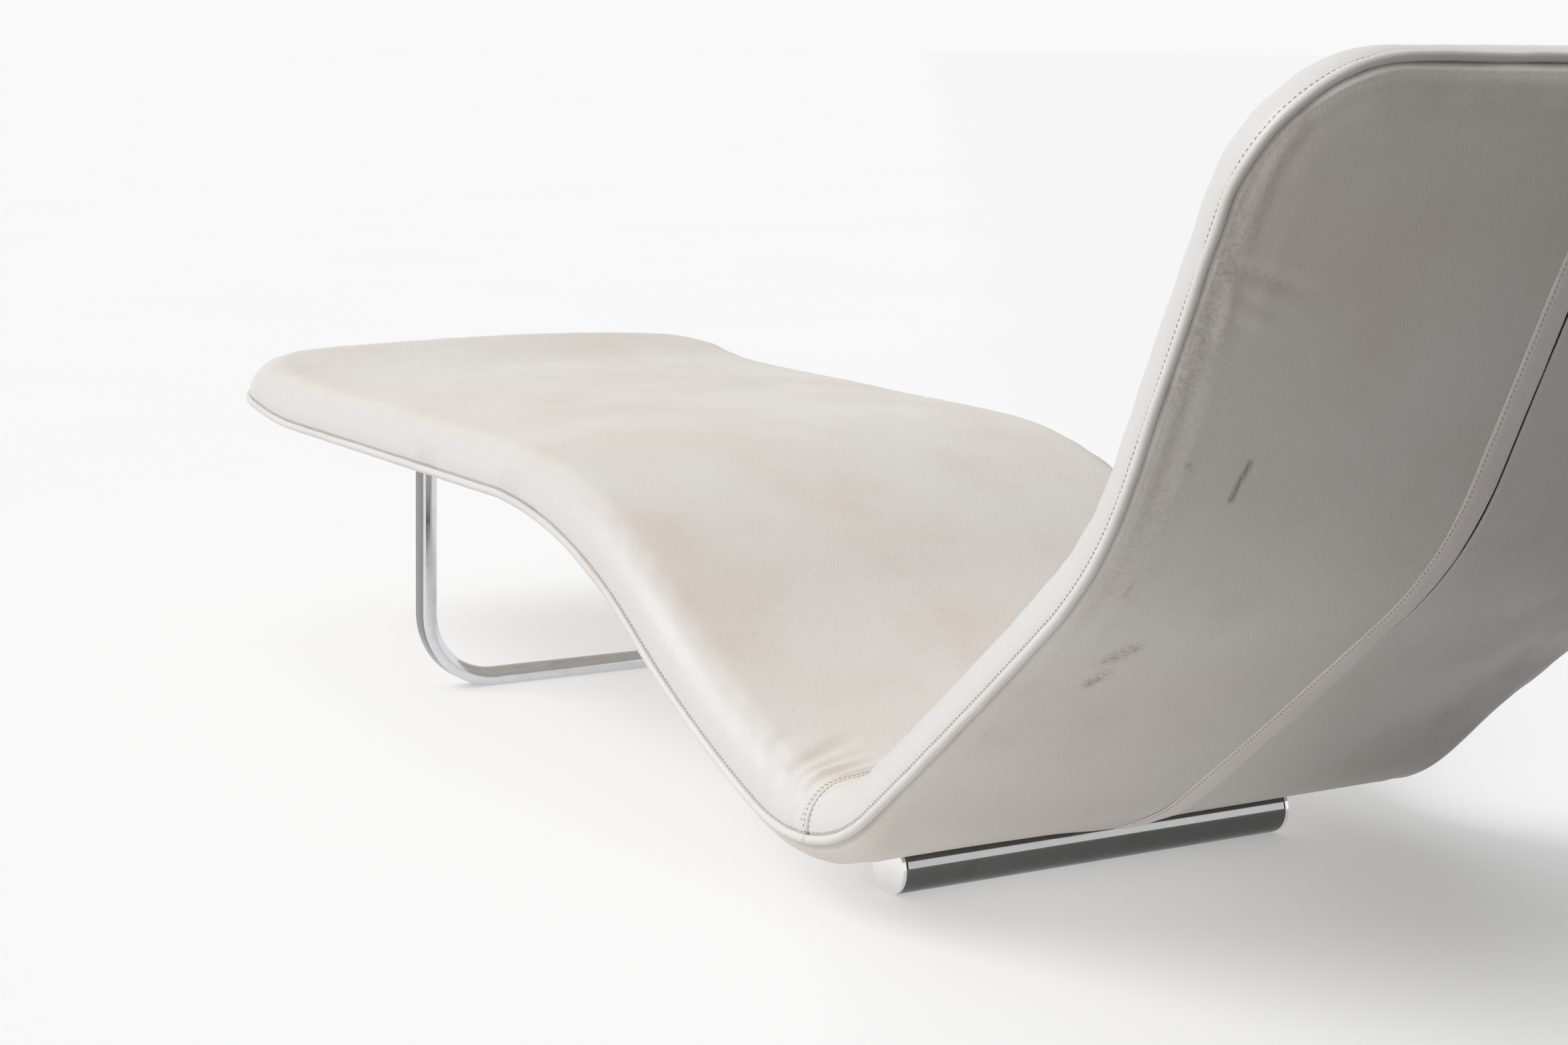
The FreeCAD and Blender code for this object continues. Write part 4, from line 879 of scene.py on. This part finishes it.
# Painted reflection: a near-white copy of the chrome for the bar's end caps, standing for the lit floor they mirror
CHROME_PAINTED_BRIGHT_REFLECTION = metal("chrome_disc", (0.93, 0.93, 0.93), 0.12, 0.24, 0.10)
# Painted highlight: a lighter copy of the chrome for the bar's facet, standing for the bright band it mirrors
CHROME_PAINTED_HIGHLIGHT = metal("chrome_painted_highlight", (0.52, 0.52, 0.525), 0.10, 0.22, 0.30)
# Painted reflection: a dark grey copy of the chrome for the floor leg's flat outer face
CHROME_PAINTED_GREY_REFLECTION = metal("chrome_painted_grey_reflection", (0.27, 0.27, 0.27), 0.14, 0.28, 0.35)
ZINC = metal("zinc", (0.60, 0.61, 0.63), 0.30, 0.42, 0.30)
ZIP_METAL = metal("zip_metal", (0.62, 0.61, 0.58), 0.22, 0.34, 0.30)
FRAME_PAINT = paint("frame_paint", (0.035, 0.035, 0.040), 0.42)
WEBBING = woven("webbing", (0.16, 0.15, 0.13), 0.0016, 0.0004)
ZIP_TAPE = woven("zip_tape", (0.13, 0.115, 0.10), 0.0007, 0.00015)
ZIP_TEETH = plastic("zip_teeth", (0.16, 0.145, 0.125), 0.40)
RUBBER = plastic("rubber", (0.028, 0.028, 0.028), 0.62)
THREAD = woven("thread", (0.46, 0.38, 0.32), 0.0004, 0.00008)


# Leather pieces


def quarter_round(width, steps):
    """Insets of rings that lie evenly round an edge, from the inside to the outline."""
    return [width * (1 - math.cos(t * math.pi / 2)) for t in steps]


FRONT_RINGS = [PATCH_INSET - 0.0035] + quarter_round(FRONT_INSET, np.linspace(1.0, 0.0, 15)[1:])
BACK_RINGS = [PATCH_INSET - 0.007, PATCH_INSET - 0.014] + [
    PIPING_RADIUS + inset for inset in quarter_round(BACK_EDGE_WIDTH, np.linspace(1.0, 0.0, 12))
]
SIDE_REACH = 0.030
SIDE_BLEND = 0.018
TUCK = 0.0009
TUCK_HEIGHT = 0.0016


def front_points(plan):
    """The front leather's form; its lower edge tucks in behind the piping."""
    s, y = plan[:, 0], plan[:, 1]
    n = front_height(s, y)
    inwards = TUCK * bell(n - PIPING_RADIUS, TUCK_HEIGHT)
    towards_middle = np.clip(s, HEAD_RADIUS, LENGTH - FOOT_RADIUS) - s
    half = HALF_WIDTH - np.where(s < LENGTH / 2, HEAD_RADIUS, FOOT_RADIUS)
    to_side = np.clip(y, -half, half) - y
    straight = towards_middle == 0
    to_side = np.where(straight, np.where(abs(y) > HALF_WIDTH - FRONT_INSET, -np.sign(y), 0), to_side)
    length = np.maximum(np.hypot(towards_middle, to_side), 1e-9)
    return spot(s + inwards * towards_middle / length, y + inwards * to_side / length, n)


def rear_points(plan):
    s, y = plan[:, 0], plan[:, 1]
    return spot(s, y, back_height(s, y))


def leather_piece(name, side, keep, *nodes):
    """One panel of leather: its form, its tension as cloth, then folds and thickness."""
    grid, shape, relief, material, scuffs, smudges, fill = side
    rear = material is REAR_LEATHER
    plan, quads = grid.part(keep)
    if not rear:
        quads = quads[:, ::-1]
    made = make_object(name, shape(plan), quads, material)
    set_values(made.data, along=plan[:, 0], across=plan[:, 1])
    settle(made, edge_vertices(quads, len(plan)))
    smooth(made)
    mesh = made.data
    s, y = (read(mesh.attributes[key].data, "value", 1)[:, 0] for key in ("along", "across"))
    outwards = read(mesh.vertex_normals, "vector") * relief(s, y)[:, None]
    set_coordinates(mesh, read(mesh.vertices, "co") + outwards)
    # The side strip near the outline gets the painted shade of the leather
    boxing_shade = np.clip((SIDE_REACH - edge_distance(s, y)) / SIDE_BLEND, 0, 1)
    set_values(mesh, scuff=marks(s, y, scuffs), smudge=marks(s, y, smudges), side=0 * s if rear else boxing_shade)
    # The thickness goes inwards, so the outside stays
    modify(made, "SOLIDIFY", thickness=LEATHER, offset=-1)
    return dress(made, nodes)


def left_panel(s, y):
    """The left panel also closes the ends beyond the zip."""
    beyond_zip = np.minimum(s, LENGTH - s) < PATCH_INSET
    return (y < PANEL_LEFT_Y) | (beyond_zip & (y < PANEL_RIGHT_Y))


front_grid = Grid((0.0,), FRONT_RINGS)
rear_grid = Grid((PANEL_LEFT_Y, PANEL_RIGHT_Y), BACK_RINGS)
front = (front_grid, front_points, front_relief, FRONT_LEATHER, (), SIDE_DENT_DARKENING, 0.9)
rear = (rear_grid, rear_points, panel_relief, REAR_LEATHER, SCUFFS, SMUDGES_AND_PAINTED_SHADE, 0.7)
seat_leather = leather_piece("seat_leather", front, lambda s, y: s > SEAM, "seat_cover", "front_foam")
back_leather = leather_piece("back_leather", front, lambda s, y: s < SEAM, "back_cover")
leather_piece("rear_leather_left", rear, left_panel, "rear_panel_left", "back_foam")
leather_piece("rear_leather_right", rear, lambda s, y: y > PANEL_RIGHT_Y, "rear_panel_right")


# Piping

PIPING_SIDES = 16
ROLL_RADIUS = 0.0040
ROLL_OUT = 0.0008
ROLL_BACK = 0.0002
ROLL_UNEVEN = 0.035
WANDER = 0.0003
WANDER_AT_HEAD = 0.0008
LIFT_AT_HEAD = 0.0004
WANDER_WAVE = 0.075
LIFT_WAVE = 0.06
UNEVEN_WAVE = 0.03
HEAD_PLACE = 0.16
HEAD_SPREAD = 0.13
CALM_POINTS = 3
PIPING_JOINT = 0.0004
OUTLINE_FINE = 0.004


def outline_from_seam():
    """Points (s, y) of the outline, from the near end of the crosswise seam round the foot."""
    outline = front_grid.outline
    start = int(np.argmin(abs(outline[:, 0] - SEAM) + (outline[:, 1] > 0)))
    return np.roll(outline, -start, axis=0)


def piping(name, plan, seed, node):
    """Leather rolled round a cord, slightly uneven, with closed ends at the seam."""
    plan = resample(plan, OUTLINE_FINE)
    s, y = plan[:, 0], plan[:, 1]
    points = spot(s, y, 0 * s)
    tangent = np.gradient(points, axis=0)
    tangent /= np.linalg.norm(tangent, axis=1, keepdims=True)
    up = towards_sitter(s)
    up -= tangent * (up * tangent).sum(1, keepdims=True)
    up /= np.linalg.norm(up, axis=1, keepdims=True)
    out = np.cross(tangent, up)
    number = np.arange(len(plan))
    steps = number * OUTLINE_FINE
    near_head = bell(s - HEAD_PLACE, HEAD_SPREAD)
    wander = ROLL_OUT + (WANDER + WANDER_AT_HEAD * near_head) * ripple(WANDER_WAVE, seed, steps)
    lift = (WANDER + LIFT_AT_HEAD * near_head) * ripple(LIFT_WAVE, seed + 1, steps) - ROLL_BACK
    radius = ROLL_RADIUS * (1 + ROLL_UNEVEN * ripple(UNEVEN_WAVE, seed + 2, steps))
    at_ends = np.clip(np.minimum(number, number[::-1]) / CALM_POINTS, 0, 1)
    points = points + out * (wander * at_ends)[:, None] + up * (lift * at_ends)[:, None]
    angles = np.linspace(0, 2 * math.pi, PIPING_SIDES, endpoint=False)
    ring = np.cos(angles)[None, :, None] * out[:, None] + np.sin(angles)[None, :, None] * up[:, None]
    vertices = points[:, None] + radius[:, None, None] * ring
    made = make_object(name, vertices.reshape(-1, 3), tube_faces(len(plan), PIPING_SIDES), PIPING_LEATHER)
    dress(made, (node,))


OUTLINE = outline_from_seam()
far_seam = int(np.argmin(abs(OUTLINE[:, 0] - SEAM) + (OUTLINE[:, 1] < 0)))
seat_run = OUTLINE[:far_seam + 1].copy()
back_run = np.vstack([OUTLINE[far_seam:], OUTLINE[:1]])
seat_run[[0, -1], 0] += PIPING_JOINT
back_run[[0, -1], 0] -= PIPING_JOINT
piping("seat_piping_roll", seat_run, 41, "seat_piping")
piping("back_piping_roll", back_run, 51, "back_piping")


# Flap over the zip

FLAP_STEP = 0.004
FLAP_COLUMNS = 13
FLAP_OPEN = 0.0020
FLAP_OPEN_END = 0.46
FLAP_OPEN_FADE = 0.16
FLAP_SEWN_DROP = 0.0014
FLAP_SEWN_SHARE = 0.30
FLAP_EDGE_SHARE = 0.06
FLAP_EDGE_THIN = 0.45
FLAP_BAR_CLEAR = 0.06
FLAP_ARCH = 0.0006
FLAP_LIP = 0.0011
# Waves of the flap and of its free edge: height, wavelength and seed
FLAP_WAVE = (0.0004, 0.16, 63)
FLAP_EDGE_WAVES = ((0.0004, 0.11, 61), (0.0002, 0.03, 62))


def flap():
    """Strip of thinner leather, sewn at its left edge and free at its right."""
    s = np.arange(FLAP_END_GAP, LENGTH - FLAP_END_GAP, FLAP_STEP)
    s_grid, t = np.meshgrid(s, np.linspace(0, 1, FLAP_COLUMNS), indexing="ij")
    free = sum(height * ripple(wavelength, seed, s) for height, wavelength, seed in FLAP_EDGE_WAVES)
    open_above = FLAP_OPEN * fade(np.maximum(s - FLAP_OPEN_END, 0), FLAP_OPEN_FADE)
    right = FLAP_RIGHT_Y + (free - open_above)[:, None]
    y = FLAP_LEFT_Y + (right - FLAP_LEFT_Y) * t
    clear = 1 - bell(s_grid - LOW_PLACE, FLAP_BAR_CLEAR)
    wave = FLAP_WAVE[0] * t * ripple(*FLAP_WAVE[1:], s_grid, y)
    lift = clear * (FLAP_ARCH * np.sin(math.pi * t) + wave + FLAP_LIP * t ** 3)
    sewn = FLAP_SEWN_DROP * np.clip(1 - t / FLAP_SEWN_SHARE, 0, 1) ** 2
    outer = FLAP_OUTER_N - lift + sewn - sag(s_grid, y)
    inner = FLAP_INNER_N - lift + sewn / 2 - sag(s_grid, y)
    rounded = np.minimum(1, (1 - t) / FLAP_EDGE_SHARE)
    middle = (outer + inner) / 2
    sides = []
    for side in (outer, inner):
        n = middle + (side - middle) * (FLAP_EDGE_THIN + (1 - FLAP_EDGE_THIN) * rounded)
        sides.append(spot(s_grid.ravel(), y.ravel(), n.ravel()))
    index = np.arange(s_grid.size).reshape(s_grid.shape)
    quads = grid_quads(index)
    loop = grid_loop(index)
    after = np.roll(loop, -1)
    rim = np.stack([loop, loop + s_grid.size, after + s_grid.size, after], -1)
    quads = np.vstack([quads, quads[:, ::-1] + s_grid.size, rim])
    made = make_object("zip_flap_leather", np.vstack(sides), quads, FLAP_PAINTED_LIGHT_LEATHER)
    smooth(made)
    return dress(made, ("zip_flap",))


flap_painted_light_leather = flap()


# Stitching

STITCH_LENGTH = 0.0032
STITCH_PITCH = 0.0046
STITCH_RADIUS = 0.00034
STITCH_SINK = 0.00008
STITCH_SIDES = 6
STITCH_REACH = 0.006
# Rings of a stitch: place along it, size, and height over the leather
STITCH_RINGS = ((-0.5, 0.35, -1.2), (-0.32, 1.0, 0.25), (0.0, 1.0, 0.55), (0.32, 1.0, 0.25), (0.5, 0.35, -1.2))
STITCH_FACES = tube_faces(len(STITCH_RINGS), STITCH_SIDES, flip=True)
SHORTEST = 1e-7
SEAM_ROWS = (-0.0045, 0.0045, 0.0085)
BOXING_ROW_N = 0.0058
FLAP_ROW_INSET = 0.0028
FLAP_ROW_END = 0.004
ROW_FINE = 0.002
SEAM_POINTS = 700
SEAM_SIDE_POINTS = 60
SEAM_SIDE_START = 0.08


def tree_of(made):
    made.data.calc_loop_triangles()
    faces = [tuple(triangle.vertices) for triangle in made.data.loop_triangles]
    return BVHTree.FromPolygons([vertex.co.copy() for vertex in made.data.vertices], faces)


def stitch_shape(at, along, out):
    """One stitch: a short thread that dives into the leather at both ends."""
    across = out.cross(along)
    vertices = []
    for place_along, size, height in STITCH_RINGS:
        centre = at + along * (place_along * STITCH_LENGTH) + out * (height * STITCH_RADIUS - STITCH_SINK)
        for k in range(STITCH_SIDES):
            angle = 2 * math.pi * k / STITCH_SIDES
            offset = across * math.cos(angle) + out * math.sin(angle)
            vertices.append(tuple(centre + offset * (size * STITCH_RADIUS)))
    return vertices


def stitching(name, lines):
    """Rows of stitches on the leather below them; a line is points in space and a tree."""
    vertices, faces = [], []
    for line, tree in lines:
        wanted = np.arange(STITCH_PITCH / 2, lengths_along(line)[-1], STITCH_PITCH)
        for middle, ahead in zip(at_lengths(line, wanted), at_lengths(line, wanted + STITCH_LENGTH / 2)):
            found, normal, _, distance = tree.find_nearest(Vector(middle))
            if found is None or distance > STITCH_REACH:
                continue
            along = Vector(ahead - middle)
            along -= normal * along.dot(normal)
            if along.length < SHORTEST:
                continue
            first = len(vertices)
            faces += [tuple(first + number for number in face) for face in STITCH_FACES]
            vertices += stitch_shape(found, along.normalized(), normal)
    dress(make_object(name, vertices, faces, THREAD))


def boxing_line(run):
    """Row on the side of the front leather, just above the piping."""
    plan = resample(run, ROW_FINE)
    return spot(plan[:, 0], plan[:, 1], np.full(len(plan), BOXING_ROW_N))


def seam_line(offset):
    """Row beside the crosswise seam, from side to side over the front."""
    y = np.linspace(-HALF_WIDTH, HALF_WIDTH, SEAM_POINTS)
    turn = np.linspace(SEAM_SIDE_START, 1, SEAM_SIDE_POINTS)[:-1]
    side_y = HALF_WIDTH - FRONT_INSET * (1 - np.cos(turn * math.pi / 2))
    y = np.concatenate([-side_y, y[abs(y) < side_y.min()], side_y[::-1]])
    s = np.full(len(y), SEAM + offset)
    return spot(s, y, front_height(s, y))


seat_tree, back_tree = tree_of(seat_leather), tree_of(back_leather)
front_lines = [(boxing_line(seat_run), seat_tree), (boxing_line(back_run), back_tree)]
front_lines += [(seam_line(offset), seat_tree if offset > 0 else back_tree) for offset in SEAM_ROWS]
stitching("front_stitches", front_lines)
flap_s = np.arange(FLAP_END_GAP + FLAP_ROW_END, LENGTH - FLAP_END_GAP - FLAP_ROW_END, ROW_FINE)
flap_row = spot(flap_s, FLAP_LEFT_Y + FLAP_ROW_INSET, np.full(len(flap_s), FLAP_OUTER_N))
stitching("flap_stitches", [(flap_row, tree_of(flap_painted_light_leather))])


# Foot bar

BAR_RADIUS = 0.02415
BAR_TOP = 0.0455
BAR_FLOOR_FLAT = 0.0005
BAR_HALF_LENGTH = 0.216
BAR_CAP = 0.004
BAR_FACET = (9.0, 23.5)
BAR_CENTRE = BAR_RADIUS - BAR_FLOOR_FLAT
BAR_ARC_STEPS = 24
BAR_EDGE = 0.0004
BAR_SHADE_NOTCH = 0.0018
BAR_SHARP = 12
BAR_END_SLOPE = 0.9


def bar_outline(inset):
    """Section of the foot bar in (x, z), clockwise from the head end of its flat top, less an inset."""
    radius = BAR_RADIUS - inset
    top_angle = math.asin((BAR_TOP - BAR_CENTRE) / BAR_RADIUS)
    low_angle = -math.asin(BAR_CENTRE / BAR_RADIUS)
    facet_low, facet_high = (math.radians(degrees) for degrees in BAR_FACET)
    angles = np.concatenate([
        np.linspace(top_angle, facet_high, BAR_ARC_STEPS), np.linspace(facet_low, low_angle, BAR_ARC_STEPS)
    ])
    right = np.stack([radius * np.cos(angles), BAR_CENTRE + radius * np.sin(angles)], -1)
    left = right[::-1] * np.array([-1, 1])
    return np.vstack([right, left])


def bevelled(first, last):
    """Places of sections along a length of the bar, each with its inset."""
    ends = ((0, BAR_EDGE), (BAR_EDGE / 2, BAR_EDGE / 4), (BAR_EDGE * 1.5, 0.0), (BAR_SHADE_NOTCH, 0.0))
    return [(first + at, inset) for at, inset in ends] + [(last - at, inset) for at, inset in reversed(ends)]


def bar_piece(name, first, last, material, node):
    """A length of the bar's section with slightly rounded ends."""
    sections = [np.insert(bar_outline(inset), 1, y, axis=1) for y, inset in bevelled(first, last)]
    faces = tube_faces(len(sections), len(sections[0]), flip=True)
    made = make_object(name, np.vstack(sections), faces, material)
    mark_sharp(made, BAR_SHARP)
    return dress(made, (node,))


# The tube's chrome is a painted dark reflection
foot_bar = bar_piece("foot_bar_tube", BAR_CAP - BAR_HALF_LENGTH, BAR_HALF_LENGTH - BAR_CAP, CHROME_PAINTED_DARK_REFLECTION, "foot_bar")
foot_bar.data.materials.append(CHROME_PAINTED_HIGHLIGHT)
foot_bar.data.materials.append(RUBBER)
facet_low, facet_high = (math.sin(math.radians(degrees)) for degrees in BAR_FACET)
# The facet gets the painted highlight copy of the chrome; beside each cap, a dark notch in rubber colour is painted
# shade where the cap's rim shades the facet
for polygon in foot_bar.data.polygons:
    if facet_low < polygon.normal.z < facet_high and abs(polygon.normal.y) < BAR_END_SLOPE:
        at_end = abs(polygon.center.y) > BAR_HALF_LENGTH - BAR_CAP - BAR_SHADE_NOTCH
        polygon.material_index = 2 if at_end else 1
# The caps' chrome is a painted bright reflection
bar_piece("bar_cap_near", -BAR_HALF_LENGTH, BAR_CAP - BAR_HALF_LENGTH, CHROME_PAINTED_BRIGHT_REFLECTION, "bar_cap_left")
bar_piece("bar_cap_far", BAR_HALF_LENGTH - BAR_CAP, BAR_HALF_LENGTH, CHROME_PAINTED_BRIGHT_REFLECTION, "bar_cap_right")


# Floor leg

LEG_X = -0.855
LEG_HALF = 0.269
LEG_HALF_BAR = 0.0120
LEG_DEPTH = 0.0195
LEG_FLANK = 0.0095
LEG_BEND = 0.088
LEG_TOP = 0.2786
LEG_EDGE = 0.0022
LEG_DOME_STEPS = 20
LEG_BEND_STEPS = 36
LEG_SHARP = 35


def leg_section():
    """(x, depth) points of the bar: flat outer face, small edge rounds, flanks and a domed inside."""
    sagitta = LEG_DEPTH - LEG_FLANK
    radius = (LEG_HALF_BAR ** 2 + sagitta ** 2) / (2 * sagitta)
    reach = math.asin(LEG_HALF_BAR / radius)
    right = [
        (LEG_HALF_BAR - LEG_EDGE + LEG_EDGE * math.sin(a), LEG_EDGE - LEG_EDGE * math.cos(a))
        for a in np.linspace(0, math.pi / 2, 4)
    ]
    dome = [
        (radius * math.sin(a), LEG_DEPTH - radius + radius * math.cos(a))
        for a in np.linspace(reach, -reach, LEG_DOME_STEPS)
    ]
    return np.array(right + dome + [(-x, depth) for x, depth in reversed(right)])


def leg_path():
    """Outer line of the U from the near top to the far top: y, z and outward direction."""
    half = [(-LEG_HALF, z, -1.0, 0.0) for z in (LEG_TOP, (LEG_TOP + LEG_BEND) / 2)]
    for a in np.linspace(0, math.pi / 2, LEG_BEND_STEPS):
        y, z = -math.cos(a), -math.sin(a)
        half.append((-LEG_HALF + LEG_BEND + LEG_BEND * y, LEG_BEND + LEG_BEND * z, y, z))
    return np.vstack([half, [(0.0, 0.0, 0.0, -1.0)], np.array(half)[::-1] * (-1, 1, -1, 1)])


def floor_leg():
    section = leg_section()
    x, depth = section.T
    rows = [
        np.stack([LEG_X + x, y - out_y * depth, z - out_z * depth], -1) for y, z, out_y, out_z in leg_path()
    ]
    made = make_object("floor_leg_bar", np.vstack(rows), tube_faces(len(rows), len(x)), CHROME)
    made.data.materials.append(CHROME_PAINTED_GREY_REFLECTION)
    # The last face of each section is the flat outer one, which gets the darker chrome copy as a painted reflection
    for polygon in list(made.data.polygons)[len(x) - 1:(len(rows) - 1) * len(x):len(x)]:
        polygon.material_index = 1
    mark_sharp(made, LEG_SHARP)
    dress(made, ("floor_leg",))


floor_leg()


# Hidden CAD pieces

NODE_MATERIALS = (
    (ZIP_TAPE, "zip_tape_left", "zip_tape_right"),
    (ZIP_TEETH, "zip_teeth_left", "zip_teeth_right"),
    (ZIP_METAL, "zip_stops", "zip_slider", "zip_pull"),
    (FRAME_PAINT, "frame_rail_left", "frame_rail_right", "frame_head_tube", "frame_foot_tube",
     "frame_cross_tubes", "leg_socket_left", "leg_socket_right", "bar_mount_plate"),
    (WEBBING, "webbing_straps"),
    (ZINC, "leg_set_screws", "bar_spacers", "bar_studs", "bar_nuts"),
    (RUBBER, "bar_pads"),
)
for node_material, *names in NODE_MATERIALS:
    for node in (frame["nodes"][name] for name in names):
        if not node.material_slots:
            node.data.materials.append(node_material)
        for material_slot in node.material_slots:
            material_slot.material = node_material


# Stage, light and camera

FLOOR_SIZE = 60.0
FLOOR_TINT = (0.90, 0.90, 0.90)
FLOOR_TINT_TOO = (0.915, 0.915, 0.915)
SUN_FROM = (-0.18, -1.00, 0.94)
SUN_STRENGTH = 1.95
SUN_ANGLE = 38.0
WORLD_FROM = (-0.22, -0.32, 0.92)
WORLD_LOW = -0.02
WORLD_HIGH = 0.90
WORLD_BRIGHT = 1.0
WORLD_DARK = 0.02
BACKGROUND = 0.95
# Painted light and shade from the floor: a camera glow that fades away from the lounger, and to bounced light a glow
# near it and near-black beyond a slanted line
FLOOR_LIFT_NEAR = 0.47
FLOOR_LIFT_FAR = 0.27
FLOOR_LIFT_FROM = -0.1
FLOOR_LIFT_TO = 0.55
FLOOR_BOUNCE_GLOW = 0.48
FLOOR_DARK_FROM = 0.25
FLOOR_DARK_TO = 0.78
FLOOR_DARK_SLANT = 1.5
FLOOR_DARK = 0.05

CAMERA_PLACE = (2.0385, -1.5822, 0.7693)
CAMERA_YAW = 31.579
CAMERA_PITCH = 10.281
CAMERA_ROLL = 1.285
CAMERA_LENS = 67.63
SENSOR_WIDTH = 36.0


def stage_floor():
    """To the camera a glow lifts the floor, less beyond a slanted line, which paints its shadow deeper there;
    bounced light finds it painted dark beyond that line and glowing elsewhere, which paints shade and light onto the
    lounger.
    """
    surface = Surface("floor")
    tint = surface.mix(surface.span(surface.noise(1.2, 2.0), 0.3, 0.7), FLOOR_TINT, FLOOR_TINT_TOO)
    path = surface.node("LightPath")
    at = surface.node("SeparateXYZ", Vector=surface.position)
    away = surface.math("MULTIPLY", at.outputs["Y"], FLOOR_DARK_SLANT)
    away = surface.math("ADD", at.outputs["X"], away)
    # Painted shade: to bounced light the floor turns near-black beyond a slanted line
    dark = surface.span(away, FLOOR_DARK_FROM, FLOOR_DARK_TO)
    dark = surface.math("MULTIPLY", dark, path.outputs["Is Diffuse Ray"])
    surface.set(Base_Color=surface.mix(dark, tint, (FLOOR_DARK,) * 3), Roughness=0.6, Specular_IOR_Level=0.2)
    # Painted shade: the camera's glow on the floor fades beyond that line, deepening the shadow there
    raised = surface.span(away, FLOOR_LIFT_FROM, FLOOR_LIFT_TO, FLOOR_LIFT_NEAR, FLOOR_LIFT_FAR)
    raised = surface.math("MULTIPLY", surface.seen(path), raised)
    # Painted light: to bounced light the floor glows wherever it is not dark
    bounce_glow = surface.math("SUBTRACT", path.outputs["Is Diffuse Ray"], dark)
    bounce_glow = surface.math("MULTIPLY", bounce_glow, FLOOR_BOUNCE_GLOW)
    glow = surface.node("Emission").outputs[0]
    shown = surface.choose(surface.math("ADD", raised, bounce_glow), surface.shader.outputs[0], glow)
    surface.put(surface.output.inputs[0], shown)
    half = FLOOR_SIZE / 2
    corners = [(-half, -half, 0), (half, -half, 0), (half, half, 0), (-half, half, 0)]
    make_object("floor", corners, [(0, 1, 2, 3)], surface.material)


def world():
    """Bright from above and a little from the left, dark from below; even where the camera looks."""
    made = bpy.data.worlds.new("studio")
    bpy.context.scene.world = made
    studio = Nodes(made)
    towards = studio.node("VectorMath", operation="DOT_PRODUCT")
    studio.fill(towards.inputs, studio.node("TexCoord").outputs["Generated"], WORLD_FROM)
    strength = studio.span(towards.outputs["Value"], WORLD_LOW, WORLD_HIGH, WORLD_DARK, WORLD_BRIGHT)
    light = studio.node("Background", Strength=strength)
    plain = studio.node("Background", Color=(BACKGROUND, BACKGROUND, BACKGROUND, 1))
    look = studio.choose(studio.seen(studio.node("LightPath")), light.outputs[0], plain.outputs[0])
    studio.node("OutputWorld", Surface=look)


def sun():
    lamp = bpy.data.lights.new("key", "SUN")
    lamp.energy = SUN_STRENGTH
    lamp.angle = math.radians(SUN_ANGLE)
    made = bpy.data.objects.new("key", lamp)
    made.rotation_euler = Vector(SUN_FROM).to_track_quat("Z", "Y").to_euler()
    bpy.context.scene.collection.objects.link(made)


def camera():
    """The photograph's viewing angle."""
    yaw, pitch, roll = (math.radians(angle) for angle in (CAMERA_YAW, CAMERA_PITCH, CAMERA_ROLL))
    level = Vector((-math.cos(yaw), math.sin(yaw), 0))
    side = Vector((math.sin(yaw), math.cos(yaw), 0))
    up = Vector((0, 0, 1))
    ahead = level * math.cos(pitch) - up * math.sin(pitch)
    over = up * math.cos(pitch) + level * math.sin(pitch)
    right = side * math.cos(roll) + over * math.sin(roll)
    top = over * math.cos(roll) - side * math.sin(roll)
    data = bpy.data.cameras.new("camera")
    data.lens = CAMERA_LENS
    data.sensor_width = SENSOR_WIDTH
    data.sensor_fit = "HORIZONTAL"
    data.clip_end = 100
    made = bpy.data.objects.new("camera", data)
    turn = Matrix((right, top, -ahead)).transposed().to_4x4()
    made.matrix_world = Matrix.Translation(Vector(CAMERA_PLACE)) @ turn
    bpy.context.scene.collection.objects.link(made)
    bpy.context.scene.camera = made


stage_floor()
world()
sun()
camera()
bpy.context.scene.view_settings.view_transform = "Standard"
